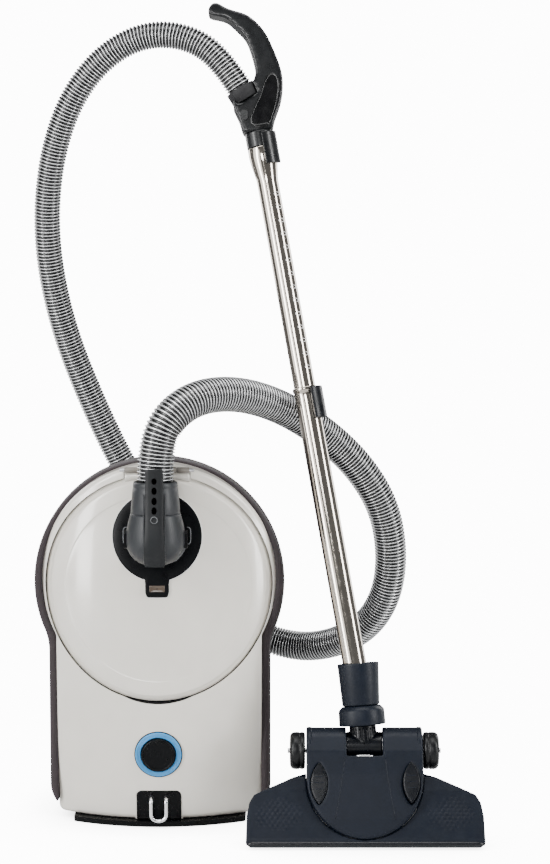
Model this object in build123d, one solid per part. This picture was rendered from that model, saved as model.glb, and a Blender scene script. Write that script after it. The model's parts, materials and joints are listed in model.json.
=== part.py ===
from build123d import *
import math
import os

# Canister vacuum cleaner, parked on its end, with hose, handle, telescopic wand and floor head.
# Millimetres. X to the right, Y to the back, Z up. The origin is on the floor, in the middle
# of the parking foot. Covers, hose, wand and head are separate pieces.

# ---- canister, seen from the front -----------------------------------------------------------
ROUND_R = 157.0          # outer radius of the bumper's round top
ROUND_Z = 303.0          # height of that radius's centre, and of the lid's
SIDE_X = 139.5           # half width of the bumper's straight sides
BUMPER_BASE_Z = 10.0
BUMPER_CORNER_R = 34.0
BUMPER_Y = (-78.0, -38.0)
CASE_R = 147.0           # the casing's round top
CASE_Z = 309.5
CASE_X = 128.5           # half width of the casing's straight sides
CASE_BASE_Z = 8.0
CASE_CORNER_R = 9.0
FRONT_Y = -125.0         # crown of the bulged front
BULGE_R = 240.0          # radius of the bulge across the casing
BULGE_LONG_R = 1600.0    # and along it
BULGE_Z = 250.0
JOINT_Y = -58.0          # where the front cover meets the rear shell
BACK_Y = 85.0
TAPER = 14.0             # how much the rear shell draws in towards its back
WALL = 3.0
GAP = 0.4                # play between pieces that move on each other

# ---- lid, inlet and elbow ----------------------------------------------------------------------
LID_R = 141.5
LID_T = 3.4
HINGE_Y = -113.0
HINGE_Z = 449.5
HINGE_HALF = 40.0
LATCH_HALF = 38.0
LATCH_R = 103.0          # the latch's lower edge; its upper edge follows the lid
LATCH_H = 2.8
INLET_Z = 368.0
INLET_R = 55.0
INLET_T = 2.2
TAB_HALF = 14.6
TAB_Z = 293.0
WINDOW = (19.0, 8.0)
WINDOW_Z = 304.0
BALL_R = 35.0
BALL_Y = -150.0
BALL_Z = 372.0
CUFF_Y = -152.0
SEAM_Z = 403.0
CUFF_TOP_Z = 441.7
STRAP_HALF = 10.5
STRAP_Z = (339.0, 459.0)

# ---- controls and foot -------------------------------------------------------------------------
DIAL_Z = 93.6
DIAL_R = 28.8
BUTTON_R = 21.8
PLATE_HALF = 27.8
PLATE_Z = (8.0, 45.8)
HOOK_WIRE_R = 2.4
HOOK_HALF = 9.4
HOOK_LOW_Z = 9.8
FOOT_HALF = 108.0
FOOT_TOP_Z = 7.6
CASTOR_PLACES = [(-84, 62), (84, 62), (-80, 372), (80, 372)]
SCREW_X = 97.0
SCREW_Z = (34.0, 180.0, 330.0)
GLAND = (90.0, 130.0)    # x and z of the cable's way out

# ---- floor head: X across, U from the lip towards the wheels, N out of its top -------------------
HEAD_X = 254.5
LIP_Y = -207.0
LIP_Z = 0.3
HEAD_PITCH = 51.0        # degrees nose down, at the end of the neck's travel
HEAD_HALF = 145.0
AXLE_U = 125.0           # the neck's axle
AXLE_N = 22.5
WHEEL_U = 119.0          # the wheels' axle
HOUSING_HALF = 71.0
HOUSING_FRONT_U = 8.0
BRUSH_U = (12.0, 61.0)
REAR_R = 22.5            # the housing's round rear
WHEEL_R = 22.8
WHEEL_W = 19.0
BARREL_R = 17.5
BARREL_HALF = 21.8
NECK_DIR = (-0.072, 0.193, 0.978)
COLLAR_T = (25.6, 49.4)     # along the neck, from the axle
SOCKET_T = (49.8, 101.8)
SOCKET_BORE_R = 13.0

# ---- wand and handle, along the wand's own axis, which starts beside the neck's axle ---------------
WAND_DIR = (-0.1756, 0.1909, 0.9657)
WAND_SHIFT = 6.6
LOWER_R = 14.6
UPPER_R = 13.4
TUBE_WALL = 1.0
LOWER_T = (60.0, 450.0)
UPPER_T = (300.0, 757.0)
NOTCHES = 14
NOTCH_PITCH = 17.0

# ---- hose: its route from the elbow, behind the casing and over to the handle ----------------------
HOSE_ROUTE = [
    (0, -152, 442), (0, -152, 478), (13, -148, 516), (48, -124, 541), (97, -82, 542),
    (150, -36, 522), (204, -4, 486), (252, 13, 440), (285, 25, 386), (297, 38, 326),
    (293, 54, 268), (271, 80, 220), (232, 115, 188), (184, 147, 173), (132, 164, 182),
    (86, 168, 212), (46, 170, 256), (10, 170, 304), (-22, 170, 352), (-50, 167, 402),
    (-78, 160, 458), (-104, 148, 520), (-128, 132, 586), (-144, 114, 652), (-152, 96, 718),
    (-150, 80, 784), (-138, 64, 848), (-114, 50, 908), (-74, 40, 958), (-22, 31, 986),
    (32, 22, 984), (76, 15, 957), (104.6, 12.1, 911.3),
]
HOSE_LOWER_R = 22.0
HOSE_UPPER_R = 18.0
HOSE_SPLIT = 16          # the two diameters meet on the run after this point

nodes = {}


def box(x, y, z):
    """A box from three (low, high) pairs."""
    size = [high - low for low, high in (x, y, z)]
    middle = [(high + low) / 2 for low, high in (x, y, z)]
    return Pos(*middle) * Box(*size)


def rod_x(radius, x, y, z):
    return Pos((x[0] + x[1]) / 2, y, z) * Rot(0, 90, 0) * Cylinder(radius, x[1] - x[0])


def rod_y(radius, x, y, z):
    return Pos(x, (y[0] + y[1]) / 2, z) * Rot(90, 0, 0) * Cylinder(radius, y[1] - y[0])


def rod_z(radius, x, y, z):
    return Pos(x, y, (z[0] + z[1]) / 2) * Cylinder(radius, z[1] - z[0])


def ring_z(outer, inner, z):
    return rod_z(outer, 0, 0, z) - rod_z(inner, 0, 0, (z[0] - 1, z[1] + 1))


def outline(inset, draw=0.0):
    """The casing's front outline, moved in by inset, and its sides and top by draw more."""
    half = CASE_X - inset - draw
    low = CASE_BASE_Z + inset
    corner = max(CASE_CORNER_R - inset, 5)
    block = Pos(0, (low + CASE_Z) / 2) * RectangleRounded(2 * half, CASE_Z - low, corner)
    return Plane.XZ * (Pos(0, CASE_Z) * Circle(CASE_R - inset - draw) + block)


def bumper_outline():
    height = ROUND_Z - BUMPER_BASE_Z
    block = Pos(0, BUMPER_BASE_Z + height / 2) * RectangleRounded(2 * SIDE_X, height, BUMPER_CORNER_R)
    return Plane.XZ * (Pos(0, ROUND_Z) * Circle(ROUND_R) + block)


def carried(sketch, y):
    """A front outline carried from y[0] to y[1]."""
    return Pos(0, y[1], 0) * extrude(sketch, amount=y[1] - y[0])


def prism(inset, y):
    return carried(outline(inset), y)


def tapered(inset, y):
    """The rear shell's form, moved in by inset: its sides and top draw in towards the back."""
    share = (y[1] - JOINT_Y) / (BACK_Y - JOINT_Y)
    rear = outline(inset, TAPER * share)
    return loft([Pos(0, y[0], 0) * outline(inset), Pos(0, y[1], 0) * rear])


def bulge(grow):
    """The large barrel whose skin is the casing's front, moved out by grow."""
    low, high = -20.0, 520.0
    radius = BULGE_R + grow

    def at(z):
        return radius - (z - BULGE_Z) ** 2 / (2 * BULGE_LONG_R)

    side = ThreePointArc((at(low), 0, low), (radius, 0, BULGE_Z), (at(high), 0, high))
    rim = Polyline((at(high), 0, high), (0, 0, high), (0, 0, low), (at(low), 0, low))
    solid = revolve(make_face(side.edges() + rim.edges()), Axis.Z)
    return Pos(0, FRONT_Y + BULGE_R, 0) * solid


def front_y(x, z, grow=0.0):
    """Y of the bulged front at x, z."""
    radius = BULGE_R + grow - (z - BULGE_Z) ** 2 / (2 * BULGE_LONG_R)
    return FRONT_Y + BULGE_R - math.sqrt(radius ** 2 - x ** 2)


def skin(shape, out, depth):
    """The part of a solid between two depths of the bulged front."""
    return shape & (bulge(out) - bulge(out - depth))


# ================================ casing ==========================================================
def make_casing():
    front = prism(0, (FRONT_Y - 5, JOINT_Y)) & bulge(0)
    edges = front.edges().filter_by(lambda e: e.center().Y < JOINT_Y - 5)
    front = fillet(edges.filter_by(lambda e: e.length > 20), 7.0)
    hollow = prism(WALL, (FRONT_Y - 5, JOINT_Y + 1)) & bulge(-WALL)
    cover = front - hollow
    cover -= rod_y(LID_R + 0.5, 0, (FRONT_Y - 20, JOINT_Y - 12), ROUND_Z)
    flange = rod_y(LID_R + 5, 0, (FRONT_Y + 6, FRONT_Y + 30), ROUND_Z) \
        - rod_y(LID_R - 9, 0, (FRONT_Y, FRONT_Y + 40), ROUND_Z)
    cover += flange & (bulge(-LID_T - 2.4) - bulge(-LID_T - 5.0)) & prism(1, (FRONT_Y, JOINT_Y))
    notch = HINGE_HALF + 1
    cover -= box((-notch, notch), (FRONT_Y - 5, HINGE_Y + 12), (HINGE_Z - 12, HINGE_Z + 12))
    cover -= dial_plane().location * rod_z(DIAL_R + GAP, 0, 0, (-20, 20))
    plate = PLATE_HALF + GAP
    cover -= box((-plate, plate), (FRONT_Y - 20, FRONT_Y + 40), (0, PLATE_Z[1] + GAP))
    cover -= latch_prism(GAP)
    nodes["top_cover"] = cover.solids().sort_by(SortBy.VOLUME)[-1]

    start = JOINT_Y + 0.2
    shell = tapered(0, (start, BACK_Y))
    shell = fillet(shell.faces().sort_by(Axis.Y)[-1].edges(), 8.0)
    shell -= tapered(WALL, (JOINT_Y - 1, BACK_Y - WALL))
    inside = tapered(1, (start, BACK_Y - 1))
    shell += box((-150, 150), (start, BACK_Y - 1), (CASE_BASE_Z, CASE_BASE_Z + 8)) & inside
    shell += box((-150, 150), (start, BACK_Y - 1), (184, 188)) & inside
    for x, z in CASTOR_PLACES:
        shell += rod_y(14, x, (BACK_Y - 22, BACK_Y), z)
        shell -= rod_y(5.06, x, (BACK_Y - 18, BACK_Y + 5), z)
    shell -= rod_y(9, GLAND[0], (BACK_Y - 10, BACK_Y + 5), GLAND[1])
    for x in range(-60, 61, 12):
        shell -= box((x - 2.5, x + 2.5), (BACK_Y - 6, BACK_Y + 5), (226, 282))
    for x, z in screw_places():
        shell -= rod_y(3.4, x, (BACK_Y - 1, BACK_Y + 3), z) + rod_y(1.8, x, (BACK_Y - 8, BACK_Y), z)
    nodes["chassis"] = shell

    inner = prism(-0.05, (BUMPER_Y[0] - 1, start)) + tapered(-0.05, (start, BACK_Y))
    nodes["bumper"] = (carried(bumper_outline(), BUMPER_Y) - inner).solids().sort_by(SortBy.VOLUME)[-1]


def screw_places():
    return [(x, z) for x in (-SCREW_X, SCREW_X) for z in SCREW_Z]


def dial_plane():
    """The dial lies square to the bulged front: its Z axis points out of the casing."""
    lean = (DIAL_Z - BULGE_Z) / BULGE_LONG_R
    return Plane(origin=(0, front_y(0, DIAL_Z), DIAL_Z), x_dir=(1, 0, 0), z_dir=(0, -1, lean))


def latch_prism(grow):
    """The slim lens below the lid, between the lid's edge and a flatter arc."""
    low = ROUND_Z - LID_R - LATCH_H
    lens = rod_y(LATCH_R + grow, 0, (FRONT_Y - 10, FRONT_Y + 30), low + LATCH_R)
    return lens - rod_y(LID_R + 0.8 - grow, 0, (FRONT_Y - 20, FRONT_Y + 40), ROUND_Z)


def make_foot():
    foot = box((-FOOT_HALF, FOOT_HALF), (FRONT_Y, 70), (0, FOOT_TOP_Z)) & bulge(10)
    foot = fillet(foot.edges().filter_by(Axis.Z), 12)
    foot = chamfer(foot.faces().sort_by(Axis.Z)[0].edges(), 1.5)
    nodes["base_foot"] = foot

    face = front_y(0, 30)
    holder = box((-PLATE_HALF, PLATE_HALF), (FRONT_Y - 4, face + 8), PLATE_Z)
    holder = fillet(holder.edges().filter_by(Axis.Y).sort_by(Axis.Z)[-2:], 6)
    holder &= bulge(0.8)
    high = PLATE_Z[1] - 9
    seat = [rod_y(HOOK_WIRE_R, x, (-150, face + 6), high) for x in (-HOOK_HALF, HOOK_HALF)]
    nodes["hook_plate"] = holder - seat

    reach = face - 11
    low = HOOK_LOW_Z
    path = FilletPolyline((-HOOK_HALF, face + 5, high), (-HOOK_HALF, reach, high),
                          (-HOOK_HALF, reach, low), (HOOK_HALF, reach, low),
                          (HOOK_HALF, reach, high), (HOOK_HALF, face + 5, high),
                          radius=[5.0, 8.0, 8.0, 5.0])
    section = Plane(origin=path @ 0, z_dir=path % 0) * Circle(HOOK_WIRE_R)
    nodes["park_hook"] = sweep(section, path)


# ================================ lid with inlet, elbow, strap ===================================
def make_lid():
    disc = rod_y(LID_R, 0, (FRONT_Y - 10, FRONT_Y + 50), ROUND_Z)
    lid = skin(disc, 0.0, LID_T)
    lid -= rod_y(INLET_R - 3, 0, (-200, 0), INLET_Z)
    lid -= box((-TAB_HALF + 2, TAB_HALF - 2), (-200, 0), (TAB_Z + 3, INLET_Z))
    tab = box((-HINGE_HALF, HINGE_HALF), (FRONT_Y, FRONT_Y + 25), (HINGE_Z - 14, HINGE_Z - 1))
    lid += skin(tab, 0.0, LID_T)
    lid += rod_x(3.6, (-HINGE_HALF, HINGE_HALF), HINGE_Y, HINGE_Z)
    reach = HINGE_HALF + 6
    nodes["lid"] = lid - rod_x(2.06, (-reach, reach), HINGE_Y, HINGE_Z)
    nodes["lid_hinge_pin"] = rod_x(2.0, (-reach, reach), HINGE_Y, HINGE_Z)

    seal = rod_y(LID_R - 3, 0, (FRONT_Y - 10, FRONT_Y + 60), ROUND_Z) \
        - rod_y(LID_R - 7, 0, (-200, 0), ROUND_Z)
    nodes["lid_seal"] = skin(seal, -LID_T, 2.0)
    latch = latch_prism(0) & box((-LATCH_HALF, LATCH_HALF), (-200, 0), (0, 300))
    nodes["lid_latch"] = skin(latch, -1.2, LID_T)

    ring = rod_y(INLET_R, 0, (-200, 0), INLET_Z)
    ring += box((-TAB_HALF, TAB_HALF), (-200, 0), (TAB_Z, INLET_Z))
    ring = skin(ring, INLET_T, INLET_T) + skin(
        rod_y(INLET_R - 3.4, 0, (-200, 0), INLET_Z), 0.1, LID_T + 8)
    ring -= rod_y(BALL_R - 1.6, 0, (-200, 0), INLET_Z)
    wide, tall = WINDOW
    ring -= box((-wide / 2, wide / 2), (-200, 0), (WINDOW_Z - tall / 2, WINDOW_Z + tall / 2))
    nodes["inlet_ring"] = ring
    lens = box((-wide / 2, wide / 2), (-200, 0), (WINDOW_Z - tall / 2, WINDOW_Z + tall / 2))
    nodes["indicator_window"] = skin(lens, INLET_T - 0.6, 3.0)

    spigot = BALL_R - 1.8
    elbow = rod_y(spigot, 0, (BALL_Y, FRONT_Y + 28), INLET_Z)
    elbow += Pos(0, BALL_Y, BALL_Z) * Sphere(BALL_R)
    elbow += Pos(0, CUFF_Y, (BALL_Z + SEAM_Z) / 2) * Cone(BALL_R - 1.8, 30.0, SEAM_Z - BALL_Z)
    elbow -= rod_y(26, 0, (BALL_Y + 4, FRONT_Y + 30), INLET_Z)
    elbow -= Pos(0, BALL_Y + 4, BALL_Z - 2) * Sphere(26)
    elbow -= rod_z(24, 0, CUFF_Y, (BALL_Z, SEAM_Z + 1))
    elbow -= box((-60, 60), (-250, 0), (SEAM_Z, 500))
    cuff_z = (SEAM_Z + 0.2 + CUFF_TOP_Z) / 2
    cuff = Pos(0, CUFF_Y, cuff_z) * Cone(29.3, 26.2, CUFF_TOP_Z - SEAM_Z - 0.2)
    cuff -= rod_z(21.0, 0, CUFF_Y, (SEAM_Z - 5, CUFF_TOP_Z + 5))
    for side in (-1, 1):
        pocket = box((28, 45) if side > 0 else (-45, -28), (BALL_Y - 8, BALL_Y + 8), (358, 382))
        elbow -= pocket
        clip = box((31.3, 38.5) if side > 0 else (-38.5, -31.3), (BALL_Y - 7, BALL_Y + 7), (359, 381))
        clip = fillet(clip.edges().filter_by(Axis.X), 4)
        nodes["elbow_clip_left" if side < 0 else "elbow_clip_right"] = clip
    nodes["hose_elbow"] = elbow
    nodes["hose_cuff"] = cuff

    low, high = STRAP_Z
    edge = Polyline((-188.6, low), (-186.0, low), (-186.0, 374.5), (-182.2, 407),
                    (-176.5, high), (-178.9, high), (-184.8, 408), (-188.6, 376), (-188.6, low))
    strap = extrude(Plane.YZ * make_face(edge), amount=STRAP_HALF, both=True)
    strap = fillet(strap.edges().filter_by(Axis.Y).sort_by(Axis.Z)[:2], 7)
    for row in range(4):
        z = 446.0 - 12.0 * row
        hole = Pos(0, -180, z) * Rot(90, 0, 0) * extrude(SlotOverall(8.0, 5.4, rotation=90),
                                                        amount=30, both=True)
        strap -= hole
    strap += Pos(0, -187.2, 399) * Rot(90, 0, 0) * Cylinder(4.9, 4)
    nodes["strap"] = strap


# ================================ dial, gland, castors ==========================================
def make_controls():
    place = dial_plane().location
    ring = chamfer(rod_z(DIAL_R, 0, 0, (-8, 1.8)).faces().sort_by(Axis.Z)[-1].edges(), 1.2)
    nodes["power_ring"] = place * (ring - rod_z(BUTTON_R + GAP, 0, 0, (-20, 20)))
    knob = rod_z(BUTTON_R, 0, 0, (-6, 5.5))
    nodes["power_button"] = place * fillet(knob.faces().sort_by(Axis.Z)[-1].edges(), 3.0)

    x, z = GLAND
    gland = rod_y(8.9, x, (BACK_Y - 8, BACK_Y + 0.5), z) + rod_y(11, x, (BACK_Y, BACK_Y + 4), z)
    gland += Pos(x, BACK_Y + 14, z) * Rot(-90, 0, 0) * Cone(9.5, 7, 20)
    nodes["cable_gland"] = gland - rod_y(4.0, x, (BACK_Y - 20, BACK_Y + 40), z)


def make_castor(name, x, z):
    """A twin-wheel castor: its stem turns in the shell, its wheels roll on the fork."""
    axle_y = BACK_Y + 22
    trail = 10.0
    fork = rod_y(5.0, x, (BACK_Y - 17, BACK_Y + 1), z) + rod_y(15, x, (BACK_Y + 0.6, BACK_Y + 5), z)
    fork += box((x - 3, x + 3), (BACK_Y + 3, BACK_Y + 27), (z - trail - 8, z - trail + 14))
    fork += box((x - 3, x + 3), (BACK_Y + 0.6, BACK_Y + 12), (z - 12, z + 12))
    fork -= rod_x(3.06, (x - 10, x + 10), axle_y, z - trail)
    nodes["castor_fork_" + name] = fork
    wheel = rod_x(3.0, (x - 14, x + 14), axle_y, z - trail)
    for low, high in ((x - 14, x - 3.5), (x + 3.5, x + 14)):
        tread = rod_x(16, (low, high), axle_y, z - trail)
        wheel += fillet(tread.edges().filter_by(GeomType.CIRCLE), 2.5)
    nodes["castor_wheel_" + name] = wheel


# ================================ inside ==========================================================
def make_inside():
    bag = prism(16, (-88, 40)) & box((-200, 200), (-200, 200), (196, 500))
    nodes["dust_bag"] = fillet(bag.edges().filter_by(Axis.Y), 12) & bulge(-24)
    holder = box((-52, 52), (-95, -90), (300, 424))
    holder = fillet(holder.edges().filter_by(Axis.Y), 10)
    nodes["bag_holder"] = holder - rod_y(30, 0, (-120, -80), INLET_Z)
    nodes["motor_filter"] = box((-70, 70), (-45, 70), (176, 183.5))
    nodes["exhaust_filter"] = box((-66, 66), (BACK_Y - 24, BACK_Y - 9), (192.5, 194.5)) \
        + box((-66, 66), (BACK_Y - 12, BACK_Y - 9), (192.5, 300))

    y, z = 15.0, 92.0
    can = rod_x(60, (-68, 68), y, z) - rod_x(57, (-65, 65), y, z) - rod_x(6.06, (-80, 80), y, z)
    can -= rod_x(14, (62, 80), y, z)
    can += rod_x(57, (18, 21), y, z) - rod_x(6.06, (0, 40), y, z)
    for step in range(6):
        can -= Pos(0, y, z) * Rot(step * 60, 0, 0) * Pos(0, 0, 36) * rod_x(9, (17, 22), 0, 0)
    can += box((-50, 50), (y - 30, y + 30), (CASE_BASE_Z + 8.2, z - 54)) - rod_x(59, (-80, 80), y, z)
    nodes["motor_housing"] = can
    nodes["motor_stator"] = rod_x(57, (-30, 14), y, z) - rod_x(32, (-40, 20), y, z)
    rotor = rod_x(6.0, (-67, 56), y, z) + rod_x(30, (-26, 10), y, z)
    nodes["motor_rotor"] = rotor + rod_x(12, (-50, -34), y, z)
    fan = rod_x(52, (30, 32), y, z) + rod_x(12, (26, 50), y, z)
    for step in range(9):
        turn = Pos(0, y, z) * Rot(step * 40, 0, 0)
        fan += turn * Pos(37, 0, 31) * Rot(0, 0, 35) * Box(11, 2, 40)
    nodes["fan_impeller"] = fan - rod_x(6.0, (20, 60), y, z)
    screws = [rod_y(3.4, x, (BACK_Y - 1, BACK_Y + 1.6), z) + rod_y(1.8, x, (BACK_Y - 3, BACK_Y), z)
              for x, z in screw_places()]
    nodes["casing_screws"] = Compound(children=screws)


# ================================ hose ============================================================
def hose_radii():
    """The largest arc that each corner's two runs allow."""
    points = [Vector(*p) for p in HOSE_ROUTE]
    radii = []
    for before, at, after in zip(points, points[1:], points[2:]):
        one, two = at - before, after - at
        half = math.radians(one.get_angle(two)) / 2
        radii.append(0.45 * min(one.length, two.length) / math.tan(half))
    return radii


def make_hose():
    radii = hose_radii()
    print("hose radii", [round(r) for r in radii])
    points = [Vector(*p) for p in HOSE_ROUTE]
    middle = (points[HOSE_SPLIT] + points[HOSE_SPLIT + 1]) * 0.5
    halves = {"hose_lower": (points[:HOSE_SPLIT + 1] + [middle], radii[:HOSE_SPLIT], HOSE_LOWER_R),
              "hose_upper": ([middle] + points[HOSE_SPLIT + 1:], radii[HOSE_SPLIT:], HOSE_UPPER_R)}
    total = 0.0
    for name, (run, corners, radius) in halves.items():
        path = FilletPolyline(*run, radius=corners)
        tube = sweep(Plane(origin=path @ 0, z_dir=path % 0) * Circle(radius), path)
        total += path.length
        print(name, "length", round(path.length), "volume ratio",
              round(tube.volume / (path.length * math.pi * radius ** 2), 4))
        nodes[name] = tube
    print("hose length", round(total))


# ================================ wand and handle =================================================
def head_frame():
    turn = math.radians(HEAD_PITCH)
    return Plane(origin=(HEAD_X, LIP_Y, LIP_Z), x_dir=(1, 0, 0),
                 z_dir=(0, -math.sin(turn), math.cos(turn)))


def upright_frame(direction, shift):
    """A frame at the neck's axle, moved along X by shift, with Z along a direction."""
    along = Vector(*direction).normalized()
    across = (Vector(1, 0, 0) - along * along.X).normalized()
    pivot = head_frame().from_local_coords(Vector(0, AXLE_U, AXLE_N))
    return Plane(origin=pivot + Vector(shift, 0, 0), x_dir=across, z_dir=along)


def wand_frame():
    return upright_frame(WAND_DIR, WAND_SHIFT)


def neck_frame():
    return upright_frame(NECK_DIR, 0)


def sector(inner, outer, t, start, sweep_angle):
    """Part of a ring round the wand."""
    ring = ring_z(outer, inner, t)
    wedge = extrude(make_face(Polyline(
        (0, 0), *[(60 * math.cos(math.radians(start + sweep_angle * i / 4)),
                   60 * math.sin(math.radians(start + sweep_angle * i / 4))) for i in range(5)],
        (0, 0))), amount=t[1] + 20)
    return ring & wedge


def profile_plate(points, y):
    """A closed smooth outline in the wand's side view, carried from y[0] to y[1]."""
    face = make_face(Spline(*[(x, 0, t) for x, t in points], periodic=True))
    if face.faces()[0].normal_at().Y < 0:
        return Pos(0, y[1], 0) * extrude(face, amount=y[1] - y[0])
    return Pos(0, y[0], 0) * extrude(face, amount=y[1] - y[0])


def make_wand():
    frame = wand_frame().location
    low, high = LOWER_T
    bore = UPPER_R + 0.08
    lower = ring_z(LOWER_R, bore, (low, high)) + ring_z(LOWER_R + 1.0, bore, (high - 5, high))
    nodes["lower_tube"] = frame * lower

    low, high = UPPER_T
    upper = rod_z(UPPER_R, 0, 0, (low, high - 44))
    upper += Pos(0, 0, high - 28) * Cone(UPPER_R, 17.6, 32)
    upper += rod_z(17.6, 0, 0, (high - 12, high))
    upper -= rod_z(UPPER_R - TUBE_WALL, 0, 0, (low - 1, high - 42))
    upper -= Pos(0, 0, high - 26) * Cone(UPPER_R - TUBE_WALL, 16.5, 32)
    upper -= rod_z(16.5, 0, 0, (high - 10.5, high + 1))
    for step in range(NOTCHES):
        t = high - 62 - NOTCH_PITCH * step
        cut = Rot(0, 0, -38) * Pos(UPPER_R, 0, t) * Rot(0, 90, 0) * extrude(
            SlotOverall(9.0, 4.4, rotation=90), amount=2.5, both=True)
        upper -= cut
    nodes["upper_tube"] = frame * upper

    lock = sector(LOWER_R + 1.4, LOWER_R + 7.0, (409, 449), -72, 68)
    nodes["tube_lock"] = frame * lock

    low, high = SOCKET_T
    socket = Pos(0, 0, (low + high) / 2) * Cone(23.0, 25.6, high - low)
    socket -= rod_z(SOCKET_BORE_R, 0, 0, (low - 10, low + 4)) + rod_z(12, 0, 0, (low - 10, high))
    socket -= rod_z(22.2, 0, 0, (high - 16, high + 5))
    nodes["neck_socket"] = neck_frame().location * socket - frame * rod_z(LOWER_R, 0, 0, (LOWER_T[0], 130))


def make_handle():
    frame = wand_frame().location
    right = [(18.2, 776), (22, 788), (31, 804), (39, 824), (41.5, 838), (40.5, 857), (36, 879),
             (30.5, 898), (21, 915), (8, 928), (-12, 938.5), (-29, 947.5)]
    left = [(-36.5, 937), (-20, 927.5), (-5, 912), (3.5, 899), (8, 880), (9.5, 860), (7.5, 847),
            (-0.5, 837.5), (-21, 826), (-26, 818), (-24.4, 805), (-21, 790), (-18.2, 776)]
    body = profile_plate(right + left, (-15, 15))
    body = body - box((-60, 60), (-60, 60), (700, 777.2))
    body += rod_z(13.2, 0, 0, (750, 778))
    body -= rod_z(11.5, 0, 0, (740, 800))
    nodes["handle_body"] = frame * body

    panel = [(15, 784), (22, 797), (32, 818), (35.5, 838), (29, 846), (18.8, 838), (11, 821),
             (-4, 800), (-8, 789), (-4, 783)]
    nodes["handle_panel"] = frame * profile_plate(panel, (-16.4, -15))

    nodes["tube_collar"] = frame * ring_z(17.9, 13.2, (757.3, 777))
    nodes["handle_release"] = frame * sector(18.3, 23.0, (733, 774), -85, 60)
    slider = Pos(-14.5, -16.8, 799) * Rot(90, 0, 0) * extrude(SlotOverall(13, 9, rotation=80),
                                                          amount=1.5, both=True)
    nodes["suction_slider"] = frame * slider

    end = Vector(*HOSE_ROUTE[-1])
    along = (end - Vector(*HOSE_ROUTE[-2])).normalized()
    cuff_plane = Plane(origin=end, x_dir=(0, 1, 0), z_dir=along)
    cuff = ring_z(HOSE_UPPER_R + 2.2, HOSE_UPPER_R + 0.3, (-14, 1.5))
    cuff = cuff_plane.location * (cuff + rod_z(HOSE_UPPER_R + 2.2, 0, 0, (0.3, 9)))
    body = nodes["handle_body"]
    bore = cuff_plane.location * rod_z(HOSE_UPPER_R + 2.6, 0, 0, (-70, 9.3))
    nodes["handle_body"] = (body - bore).solids().sort_by(SortBy.VOLUME)[-1]
    nodes["handle_cuff"] = cuff


# ================================ floor head ======================================================
def make_head():
    frame = head_frame().location
    side = make_face(Polyline((0, 0, 2.6), (0, 0, 6.5), (0, 8, 10), (0, 66, 21), (0, 84, 22),
                              (0, 92, 16), (0, 92, 2.6), (0, 0, 2.6)))
    nozzle = extrude(side, amount=HEAD_HALF, both=True)
    nozzle &= extrude(nozzle_plan(0), amount=40)
    nozzle -= box((-118, 118), (22, 52), (0, 12))
    for u in BRUSH_U:
        nozzle -= box((-126, 126), (u - 3, u + 3), (0, 9))
    nozzle -= box((-20, 20), (22, 95), (0, 12))
    over = 0.3
    round_part = make_housing_solid(over)
    nodes["nozzle_body"] = frame * (nozzle - round_part)

    housing = make_housing_solid(0)
    core = BARREL_HALF + 0.5
    housing -= box((-core, core), (AXLE_U - 22, AXLE_U + 30), (-2, 60))
    housing -= box((-18, 18), (40, AXLE_U - 21), (0, 14))
    housing -= rod_x(BARREL_R + 0.5, (-core, core), AXLE_U, AXLE_N)
    housing -= rod_x(14.4, (-30, 30), AXLE_U, AXLE_N)
    for u in BRUSH_U:
        housing -= box((-126, 126), (u - 3, u + 3), (0, 9))
    for side_x in (-1, 1):
        housing -= rod_x(3.0, sorted((side_x * 50, side_x * 80)), WHEEL_U, AXLE_N)
        housing -= lens_prism(side_x, 0.4, 14.0)
    nodes["head_housing"] = frame * housing.solids().sort_by(SortBy.VOLUME)[-1]

    pins = [rod_x(14.4, (-30, -12), AXLE_U, AXLE_N), rod_x(14.4, (12, 30), AXLE_U, AXLE_N)]
    pins += [rod_x(3.0, (50, 94), WHEEL_U, AXLE_N), rod_x(3.0, (-94, -50), WHEEL_U, AXLE_N)]
    nodes["head_pins"] = frame * Compound(children=pins)

    sole = extrude(nozzle_plan(1), amount=2.4)
    sole -= box((-118, 118), (24, 50), (-1, 4))
    for u in BRUSH_U:
        sole -= box((-126, 126), (u - 3, u + 3), (-1, 4))
    nodes["sole_plate"] = frame * sole
    strips = [box((-125, 125), (u - 2.5, u + 2.5), (0.2, 7.6)) for u in BRUSH_U]
    nodes["brush_strips"] = frame * Compound(children=strips)

    for side_x, name, lift in ((-1, "left", 1.0), (1, "right", 5.0)):
        nodes["pedal_" + name] = frame * pedal_solid(side_x, lift)
        low = side_x * (HOUSING_HALF + 1.5)
        high = side_x * (HOUSING_HALF + 1.5 + WHEEL_W)
        wheel = rod_x(WHEEL_R, sorted((low, high)), WHEEL_U, AXLE_N)
        wheel = fillet(wheel.edges().filter_by(GeomType.CIRCLE), 2.0)
        nodes["head_wheel_" + name] = frame * (wheel - rod_x(3.06, (-120, 120), WHEEL_U, AXLE_N))


def nozzle_plan(inset):
    """The nozzle's plan, moved in by inset: a straight lip, near upright sides, a sloping back."""
    half = HEAD_HALF - inset
    right = [(half - 5, inset), (half, 4 + inset), (half - 1, 36), (half - 4, 52), (half - 10, 62),
             (HOUSING_HALF, 92 - inset)]
    left = [(-x, u) for x, u in reversed(right)]
    return make_face(Polyline(*right, *left, right[0]))


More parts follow.
